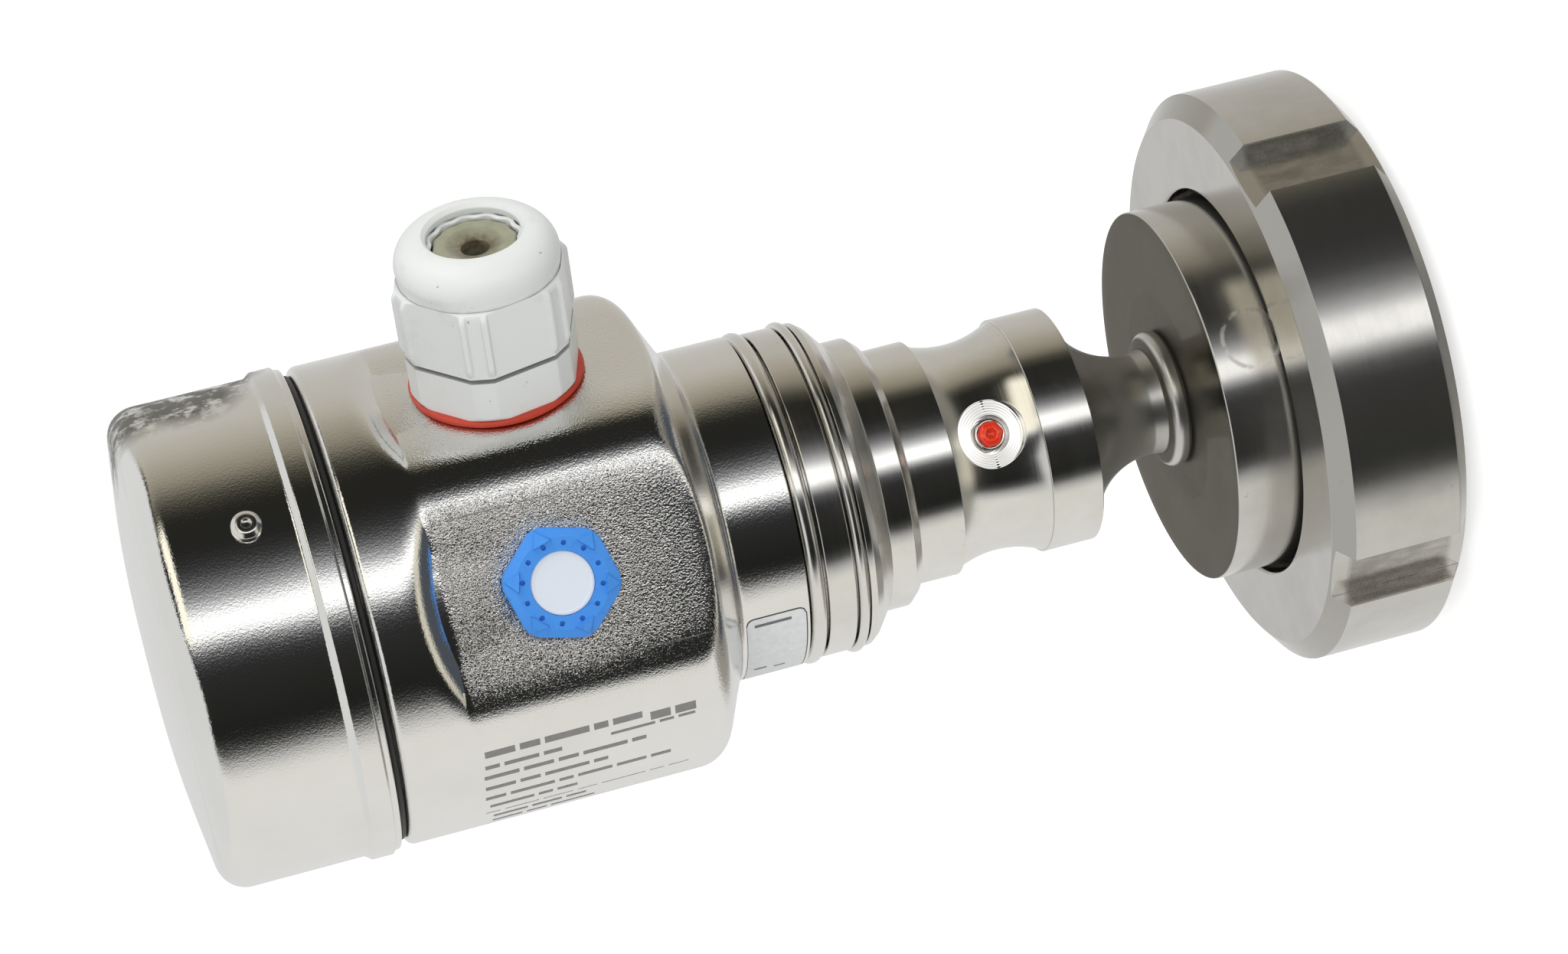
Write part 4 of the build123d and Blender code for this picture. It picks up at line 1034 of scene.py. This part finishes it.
class TRANSMITTER_OT_gland(bpy.types.Operator):
    """Plastic cable gland with its red ring, hexagon, domed nut, fingers and soft insert"""

    bl_idname = "transmitter.gland"
    bl_label = "Cable gland"

    def execute(self, context):
        sizes = read(context.scene.transmitter_gland)
        place = outward(0.0, read(context.scene.transmitter_drum).entry_height)
        show(self.ring(place), "gland_ring")
        show(self.body(sizes, place), "gland_body")
        show(self.nut(sizes, place), "gland_nut")
        show(self.insert(sizes, place), "gland_insert")
        return {"FINISHED"}

    def ring(self, place):
        """Flat red ring, squeezed out a little at its rim."""
        outline = [(9.95, 34.45), (13.05, 34.45, 0.2), (13.2, 34.9, 0.3), (13.05, 35.38, 0.2), (9.95, 35.38)]
        return turned("gland_ring_skin", rounded(outline, 3), 160, place=place)

    def body(self, sizes, place):
        """Hexagon with truncated corners on a round shank, and a ring of fingers above it.

        The radius is that of a hexagon between the seat and the hexagon's top, and round elsewhere.
        """
        corner = sizes.corner
        outline = [
            (6.4, 25.4), (9.3, 25.4), (9.9, 26.0), (9.9, sizes.seat), (corner - 0.7, sizes.seat, 0.15),
            (corner, sizes.seat + 1.0, 0.2), (corner, sizes.hex_top, 0.15), (9.3, sizes.hex_top),
            (9.3, 53.5), (6.95, 58.75, 0.3), (6.2, 58.6, 0.2), (7.7, 53.5), (7.7, 41.4), (6.4, 41.4),
        ]
        outline = refine(rounded(outline, 4), 0.9)

        def hexagonal(radius, height, turns):
            hexagon = hexagon_radius(turns, sizes.flats, sizes.turn, sizes.facet)
            body = (height > sizes.seat - 0.01) & (height < sizes.hex_top + 0.01) & (radius > 10.0)
            radius = np.where(body, soft_min(radius, hexagon, 0.08), radius)
            finger = 0.22 * (1 + np.cos(12 * turns)) * ((height > 58.2) & (radius > 6.0) & (radius < 7.2))
            return radius + finger, height

        return turned("gland_body_skin", outline, 360, hexagonal, place, sharp=28)

    def nut(self, sizes, place):
        """Hexagon whose corners fade into a dome, with two ribs beside each corner and an open mouth.

        The dome is a quarter of an ellipse: its radius is the mouth's lip plus the rest times the cosine, and
        its height the base plus the rise times the sine. The hexagon gives way to it over the last millimetre
        of the flats. A rib is a flat-topped ridge at a fixed distance from the corner.
        """
        corner, lip = sizes.corner, sizes.mouth + 0.6
        bend = np.linspace(0.0, np.pi / 2, 22)
        across, rise = sizes.dome - lip, sizes.top - sizes.dome_base
        dome = np.stack([lip + across * np.cos(bend), sizes.dome_base + rise * np.sin(bend)], -1)
        lower = rounded(
            [
                (9.65, sizes.nut_base), (corner - 0.15, sizes.nut_base, 0.1),
                (corner, sizes.nut_base + 0.3, 0.1), (corner, sizes.hex_end - 2.0),
                (sizes.dome + 0.1, sizes.hex_end + 0.2, 0.5),
            ],
            6,
        )
        mouth = [(lip, sizes.top), (sizes.mouth, sizes.top - 0.6, 0.3), (sizes.mouth, 59.2)]
        inner = rounded([*mouth, (9.65, 53.6)], 6)
        outline = refine(np.concatenate([lower, dome, inner[1:]]), 0.55)
        outer = np.arange(len(outline)) < np.argmin(abs(outline - (sizes.mouth, 59.2)).sum(1))

        def hexagonal(radius, height, turns):
            hexagon = hexagon_radius(turns, sizes.flats, sizes.turn, sizes.facet)
            given_way = np.clip((height - sizes.hex_end + 0.6) / 1.2, 0, 1)
            limit = hexagon + (30 - hexagon) * given_way
            on_flat = outer[:, None] & (height < sizes.hex_end + 0.7)
            radius = np.where(on_flat, soft_min(radius, np.broadcast_to(limit, radius.shape), 0.15), radius)
            from_corner = abs(turn_between(turns, sizes.turn, SIXTH)) * corner
            ribs = sizes.rib * np.clip((0.62 - abs(from_corner - 1.65)) / 0.25, 0, 1)
            ribs = ribs * np.clip((height - sizes.nut_base - 0.7) / 0.3, 0, 1)
            ribs = ribs * np.clip((sizes.hex_end - 0.9 - height) / 1.2, 0, 1)
            return radius + ribs * outer[:, None] * (radius > 11.0), height

        return turned("gland_nut_skin", outline, 600, hexagonal, place, sharp=26)

    def insert(self, sizes, place):
        """Soft seal with a scalloped rim, a dished end and the cable hole."""
        outline = [
            (sizes.hole, 41.5), (7.65, 41.5), (7.65, 53.0), (sizes.insert, 58.3, 0.4),
            (4.4, 58.2, 0.5), (sizes.hole + 0.9, 57.6, 0.3), (sizes.hole, 57.4, 0.2),
        ]

        def scallop(radius, height, turns):
            rim = (height > 57.0) & (radius > 4.2)
            return radius + rim * 0.12 * np.cos(12 * turns), height

        return turned("gland_insert_skin", refine(rounded(outline, 5), 0.8), 240, scallop, place)


class TRANSMITTER_OT_vent(bpy.types.Operator):
    """Blue vent cap with its air holes and wedges, and its white disc"""

    bl_idname = "transmitter.vent"
    bl_label = "Vent"

    def execute(self, context):
        sizes = read(context.scene.transmitter_vent)
        drum = read(context.scene.transmitter_drum)
        place = outward(drum.pad_turn, drum.entry_height)
        show(self.cap(sizes, place), "vent_cap")
        show(self.disc(sizes, place), "vent_membrane")
        return {"FINISHED"}

    def cap(self, sizes, place):
        """Cap as rings that shrink from its edge towards the middle, over a hollow stub."""
        turns = np.linspace(0, TURN, 720, endpoint=False)
        edge = self.edge(sizes, turns)
        rings = sizes.disc + (edge - sizes.disc) * np.linspace(1.0, 0.0, 44)[:, None]
        lift = self.top(sizes, turns, rings)
        top = sizes.seat + sizes.height
        row = np.ones_like(turns)
        wall_high = lift[0] - 0.16
        hole, stub, pocket = 3.2 * row, 5.9 * row, sizes.disc * row
        floor = (top - 0.86) * row
        seat = sizes.seat * row
        under = [(hole, floor), (hole, seat - 6.5), (stub, seat - 6.5), (stub, seat)]
        wall = [(edge - 0.12, seat), (edge, seat + 0.12), (edge, wall_high)]
        inside = [(pocket, (top - 0.2) * row), (pocket, floor), (hole, floor)]
        radius, height = (np.vstack(part) for part in zip(*under, *wall, (rings, lift), *inside))
        points = round_points(radius, turns, height, place)
        return add_mesh("vent_cap_skin", points, grid_quads(len(radius), len(turns)), 40)

    def edge(self, sizes, turns):
        """Radius of a hexagon with rounded corners.

        Near a corner it is that of the rounding circle, whose centre lies c from the middle:
        r = c cos t + sqrt(q q - c c sin t sin t) with q the rounding and t the turn from the corner.
        Elsewhere it is half the flats over the cosine from the nearest flat.
        """
        lean = np.cos(SIXTH / 2)
        flat = sizes.corner * lean
        centre = (flat - sizes.corner_round) / lean
        from_corner = turn_between(turns, sizes.turn, SIXTH)
        reach = np.arctan2(sizes.corner_round * 0.5, centre + sizes.corner_round * lean)
        aside = centre * np.sin(from_corner)
        tip = centre * np.cos(from_corner) + np.sqrt(sizes.corner_round**2 - aside**2)
        return np.where(abs(from_corner) < reach, tip, hexagon_radius(turns, 2 * flat, sizes.turn))

    def top(self, sizes, turns, rings):
        """Heights of the top, level up to the plateau's radius and falling evenly outside it.

        The two outermost rings drop for a soft edge. An air hole is a dip within the dot's radius. A wedge is
        a three-cornered field at each corner that points outward and falls from its base to its tip.
        """
        level = sizes.seat + sizes.height
        slope = sizes.fall / (sizes.corner - sizes.plateau)
        x, y = rings * np.cos(turns), rings * np.sin(turns)
        lift = level - slope * np.maximum(0, rings - sizes.plateau)
        lift[:2] -= np.array([[0.16], [0.03]])
        for index in range(sizes.dots):
            turn = sizes.turn + index * TURN / sizes.dots
            away = np.hypot(x - sizes.dot_circle * np.cos(turn), y - sizes.dot_circle * np.sin(turn))
            lift = lift - 0.7 * np.clip((sizes.dot - away) / 0.08 + 0.5, 0, 1)
        for index in range(6):
            turn = sizes.turn + index * SIXTH
            out = x * np.cos(turn) + y * np.sin(turn)
            side = -x * np.sin(turn) + y * np.cos(turn)
            share = (out - sizes.wedge_base) / (sizes.wedge_tip - sizes.wedge_base)
            width = (1 - share) * sizes.wedge_width / 2
            inside = np.clip((width - abs(side)) / 0.1 + 0.5, 0, 1) * (share < 1)
            inside = inside * np.clip(share / 0.05 + 0.5, 0, 1)
            wedge = level + sizes.wedge_rise - (sizes.wedge_rise + 0.5) * share
            lift = lift + inside * np.maximum(0, wedge - lift)
        return lift

    def disc(self, sizes, place):
        """White disc with a soft rim."""
        top = sizes.seat + sizes.height
        rim = sizes.disc - 0.02
        outline = [
            (0.0, top - 0.83), (rim, top - 0.83), (rim, top - 0.3, 0.15), (rim - 0.48, top - 0.3, 0.1),
            (rim - 0.68, top - 0.38, 0.1), (0.0, top - 0.38),
        ]
        return turned("vent_membrane_skin", rounded(outline, 4), 96, place=place)


class TRANSMITTER_OT_marks(bpy.types.Operator):
    """Blank etched lines of the nameplate, and the pale sticker on the neck"""

    bl_idname = "transmitter.marks"
    bl_label = "Marks"

    def execute(self, context):
        self.sticker()
        self.nameplate()
        return {"FINISHED"}

    def patch(self, radius, turn_low, turn_high, low, high, corner):
        """Curved patch on a cylinder, its corners rounded, standing for a film."""
        side, rise = np.meshgrid(np.linspace(-1, 1, 28), np.linspace(-1, 1, 28))
        half_turn, half_high = (turn_high - turn_low) / 2, (high - low) / 2
        reach = half_turn * radius
        over = np.clip((abs(rise) * half_high - (half_high - corner)) / corner, 0, 1)
        side = side * (reach - corner * (1 - np.sqrt(1 - over**2))) / reach
        turn = (turn_low + turn_high) / 2 + side * half_turn
        height = (low + high) / 2 + rise * half_high
        return round_points(radius, turn, height), grid_quads(28, 28, False, False)

    def bar(self, radius, turn, low, high, thick):
        """Thin bar along the axis at a turn given in degrees."""
        half = thick / radius / 2
        middle = np.radians(turn)
        turns = middle + half * np.array([-1, 1, 1, -1])
        return round_points(radius, turns, np.array([low, low, high, high])), np.array([(0, 1, 2, 3)])

    def film(self, name, patches, tone, rough, metal=0.0):
        """One mesh of several patches with a plain printed finish."""
        count, points, quads = 0, [], []
        for place, faces in patches:
            points.append(place)
            quads.append(faces + count)
            count += len(place)
        piece = add_mesh(name, np.concatenate(points), np.concatenate(quads), 60)
        finish = Finish(name)
        shade = finish.cloud(900.0, 3.0, 0.5, 0.3, 0.7)
        finish.colour(finish.blend(shade, tone, tuple(0.9 * part for part in tone)))
        finish.set(Roughness=rough, Metallic=metal)
        piece.data.materials.append(finish.material)
        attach(piece, "housing")
        return piece

    def sticker(self):
        """Pale film with a thin dark outline, one blank row and two short ones."""
        low, high = np.radians(-138.0), np.radians(-93.5)
        base, top, edge = 101.9, 111.6, 0.2
        inset = edge / NECK
        outline = self.patch(NECK + FILM_GAP, low, high, base, top, 1.4)
        self.film("sticker_outline", [outline], (0.06, 0.06, 0.06), 0.4)
        reach = NECK + 2 * FILM_GAP
        paper = self.patch(reach, low + inset, high - inset, base + edge, top - edge, 1.2)
        self.film("sticker", [paper], (0.78, 0.80, 0.80), 0.3)
        rows = ((-97.0, 104.4, 110.2, 0.55), (-124.0, 108.2, 110.2, 0.5), (-125.5, 105.2, 107.0, 0.4))
        lines = [self.bar(NECK + 3 * FILM_GAP, *row) for row in rows]
        self.film("sticker_lines", lines, (0.16, 0.16, 0.16), 0.5)

    def nameplate(self):
        """Rows of blank bars etched on the drum beside the vent's flat, broken like words.

        A row is its turn in degrees, its lower and upper end and its thickness. The words' lengths repeat.
        """
        rows = (
            (-97.4, 131.0, 155.0, 1.3), (-98.7, 122.8, 129.8, 1.7), (-101.1, 123.0, 136.0, 0.55),
            (-101.7, 143.5, 155.2, 0.8), (-105.4, 130.0, 155.5, 0.85), (-109.8, 136.0, 155.5, 0.85),
            (-114.4, 125.4, 155.6, 0.85), (-119.0, 141.5, 155.0, 0.85), (-123.0, 124.0, 155.6, 0.15),
            (-126.5, 139.5, 154.4, 0.9), (-131.5, 138.5, 154.4, 0.9),
        )
        lengths = (4.6, 3.1, 6.8, 2.2, 5.3)
        bars = []
        for index, (turn, low, high, thick) in enumerate(rows):
            end, word = high, index
            while end - low > 1.0:
                start = max(low, end - lengths[word % len(lengths)])
                bars.append(self.bar(DRUM + 0.02, turn, start, end, thick))
                end, word = start - 0.7, word + 1
        self.film("nameplate_bars", bars, (0.27, 0.265, 0.25), 0.5, 0.3)


# Bands of the mirrored room, each its turn in degrees and its colour
ROOM_BANDS = (
    (-180, (0.86, 0.855, 0.84)), (-121, (0.86, 0.85, 0.81)), (-113, (0.55, 0.55, 0.54)),
    (-106, (0.07, 0.07, 0.068)), (-99, (0.014, 0.016, 0.014)), (-80, (0.022, 0.022, 0.020)),
    (-66, (0.030, 0.030, 0.031)), (-59, (0.09, 0.094, 0.10)), (-54, (0.60, 0.61, 0.62)),
    (-50, (1.6, 1.6, 1.6)), (-43, (1.6, 1.6, 1.6)), (-37, (0.66, 0.67, 0.69)),
    (-30, (0.22, 0.225, 0.235)), (-22, (0.050, 0.051, 0.052)), (-12, (0.020, 0.020, 0.019)),
    (8, (0.020, 0.020, 0.016)), (16, (0.078, 0.073, 0.057)), (26, (0.30, 0.275, 0.215)),
    (36, (0.42, 0.39, 0.32)), (48, (0.53, 0.50, 0.43)), (60, (0.59, 0.57, 0.52)),
    (90, (0.62, 0.605, 0.575)), (104, (0.68, 0.675, 0.66)), (114, (0.74, 0.74, 0.735)),
    (135, (0.74, 0.74, 0.735)), (152, (0.80, 0.80, 0.79)), (179, (0.86, 0.855, 0.84)),
)


class TRANSMITTER_OT_stage(bpy.types.Operator):
    """Camera, pale floor, white surroundings and soft light"""

    bl_idname = "transmitter.stage"
    bl_label = "Stage"

    def execute(self, context):
        settings = context.scene.transmitter_stage
        self.camera(context.scene, settings)
        self.floor(settings)
        self.surroundings(context.scene)
        self.lamps()
        context.scene.view_settings.view_transform = "Standard"
        return {"FINISHED"}

    def camera(self, scene, settings):
        """Camera that looks from its place to its aim, rolled about that line."""
        data = bpy.data.cameras.new("camera")
        data.lens = settings.lens
        data.sensor_width = 36.0
        data.clip_start = 0.01
        place, aim = Vector(settings.camera_place), Vector(settings.camera_aim)
        ahead = (aim - place).normalized()
        level = ahead.cross(Vector((0, 0, 1))).normalized()
        up = level.cross(ahead)
        roll = settings.camera_roll
        right = level * np.cos(roll) + up * np.sin(roll)
        above = right.cross(ahead)
        camera = bpy.data.objects.new("camera", data)
        turn = Matrix((right, above, -ahead)).transposed().to_4x4()
        camera.matrix_world = Matrix.Translation(place) @ turn
        scene.collection.objects.link(camera)
        scene.camera = camera

    def floor(self, settings):
        """Pale floor at the process face that shows white to the camera and keeps the shadow."""
        reach = settings.floor_reach / MM
        corners = reach * np.array([(-1, -1, 0), (1, -1, 0), (1, 1, 0), (-1, 1, 0)])
        floor = add_mesh("floor", corners, np.array([(0, 1, 2, 3)]))
        finish = Finish("floor")
        finish.set(Roughness=0.9)
        finish.surface.inputs["Base Color"].default_value = (0.86, 0.86, 0.86, 1)
        path = finish.add("ShaderNodeLightPath")
        glow = finish.add("ShaderNodeEmission")
        strength = finish.times(path.outputs["Is Camera Ray"], settings.floor_glow)
        finish.join(strength, glow.inputs["Strength"])
        total = finish.add("ShaderNodeAddShader")
        finish.join(finish.surface.outputs[0], total.inputs[0])
        finish.join(glow.outputs[0], total.inputs[1])
        clear = finish.add("ShaderNodeBsdfTransparent")
        seen = finish.add("ShaderNodeMixShader")
        finish.join(path.outputs["Is Glossy Ray"], seen.inputs[0])
        finish.join(total.outputs[0], seen.inputs[1])
        finish.join(clear.outputs[0], seen.inputs[2])
        finish.join(seen.outputs[0], finish.nodes["Material Output"].inputs["Surface"])
        floor.data.materials.append(finish.material)

    def surroundings(self, scene):
        """World: white to the camera, an even pale level to matt surfaces, and a room to metal and glass.

        The room is a ring of bands about the object's axis, pale where the photographed metal mirrors its
        white surroundings and dark where it mirrors the rest. Over it lie a pale ceiling above a thin dark
        line, a bright strip under that line on the dark side, and a grey and cream floor with a dark foot.
        The share of each is a ramp of the sine of the direction's height; the ceiling comes lower away from
        the dark side's middle.
        """
        world = bpy.data.worlds.new("room")
        world.use_nodes = True
        scene.world = world
        room = Room(world)
        stops = [((turn + 180) / 360, (*tone, 1.0)) for turn, tone in ROOM_BANDS]
        ring = room.colours(room.ramp(room.turn, -np.pi, np.pi), stops)
        away = room.off(room.turn, np.radians(-22))
        strip = room.window(room.height, 0.22, 0.32, 0.58, 0.64)
        strip = room.times(strip, room.ramp(away, np.radians(34), np.radians(24)))
        ring = room.blend(strip, ring, (1.30, 1.24, 1.04))
        ceiling = room.ramp(away, np.radians(20), np.radians(58), 0.74, 0.44)
        over = room.maths("SUBTRACT", room.height, ceiling)
        ring = room.blend(room.ramp(over, 0.0, 0.06), ring, (0.80, 0.81, 0.81))
        line = room.window(over, -0.09, -0.05, 0.0, 0.03)
        line = room.times(line, room.ramp(away, np.radians(78), np.radians(60)))
        ring = room.blend(line, ring, (0.03, 0.03, 0.028))
        away = room.off(room.turn, np.radians(-68))
        cream = room.ramp(away, np.radians(44), np.radians(22))
        ground = room.blend(cream, (0.30, 0.285, 0.25), (0.82, 0.78, 0.65))
        ring = room.blend(room.times(room.ramp(room.height, -0.62, -0.70), 0.9), ring, ground)
        ring = room.blend(room.ramp(room.height, -0.80, -0.88), ring, (0.08, 0.092, 0.11))
        path = room.add("ShaderNodeLightPath").outputs
        mirrored = room.most(path["Is Glossy Ray"], path["Is Transmission Ray"])
        light = room.blend(mirrored, (0.56, 0.56, 0.56), ring)
        seen = room.blend(path["Is Camera Ray"], light, (1.0, 1.0, 1.0))
        room.join(seen, room.nodes["Background"].inputs["Color"])

    def lamps(self):
        """Two large soft lamps: one above the gland as the photo has it, one beside the camera."""
        for name, place, power, reach in (
            ("key", (0.75, 0.15, 0.45), 3.4, 0.7),
            ("fill", (0.30, -0.80, 0.50), 3.0, 0.8),
        ):
            data = bpy.data.lights.new(name, "AREA")
            data.shape = "DISK"
            data.size = reach
            data.energy = power
            lamp = bpy.data.objects.new(name, data)
            ahead = Vector((0, 0, 0.1)) - Vector(place)
            lamp.rotation_euler = ahead.to_track_quat("-Z", "Y").to_euler()
            lamp.location = place
            lamp.visible_glossy = False
            bpy.context.scene.collection.objects.link(lamp)


class TRANSMITTER_OT_carried(bpy.types.Operator):
    """Gives every CAD piece that is shown as it is the finish of its slot"""

    bl_idname = "transmitter.carried"
    bl_label = "Carried pieces"

    def execute(self, context):
        for name, node in frame["nodes"].items():
            wear(node, SLOTS[name])
        return {"FINISHED"}


class TRANSMITTER_PT_panel(bpy.types.Panel):
    """Buttons for each group of pieces"""

    bl_idname = "TRANSMITTER_PT_panel"
    bl_label = "Pressure transmitter"
    bl_space_type = "VIEW_3D"
    bl_region_type = "UI"
    bl_category = "Transmitter"

    def draw(self, context):
        for operator in OPERATORS:
            self.layout.operator(operator.bl_idname)


GROUPS = {
    "transmitter_drum": DrumSizes,
    "transmitter_nut": NutSizes,
    "transmitter_gland": GlandSizes,
    "transmitter_vent": VentSizes,
    "transmitter_stage": StageSettings,
}
OPERATORS = (
    TRANSMITTER_OT_carried,
    TRANSMITTER_OT_housing,
    TRANSMITTER_OT_neck,
    TRANSMITTER_OT_seal,
    TRANSMITTER_OT_nut,
    TRANSMITTER_OT_gland,
    TRANSMITTER_OT_vent,
    TRANSMITTER_OT_marks,
    TRANSMITTER_OT_stage,
)


def register():
    for group in GROUPS.values():
        bpy.utils.register_class(group)
    for name, group in GROUPS.items():
        setattr(bpy.types.Scene, name, PointerProperty(type=group))
    for item in (*OPERATORS, TRANSMITTER_PT_panel):
        bpy.utils.register_class(item)


def unregister():
    for item in reversed((*OPERATORS, TRANSMITTER_PT_panel)):
        bpy.utils.unregister_class(item)
    for name, group in GROUPS.items():
        delattr(bpy.types.Scene, name)
        bpy.utils.unregister_class(group)


def main():
    """Builds every group in order."""
    register()
    bpy.ops.transmitter.carried()
    bpy.ops.transmitter.housing()
    bpy.ops.transmitter.neck()
    bpy.ops.transmitter.seal()
    bpy.ops.transmitter.nut()
    bpy.ops.transmitter.gland()
    bpy.ops.transmitter.vent()
    bpy.ops.transmitter.marks()
    bpy.ops.transmitter.stage()


if __name__ == "__main__":
    main()
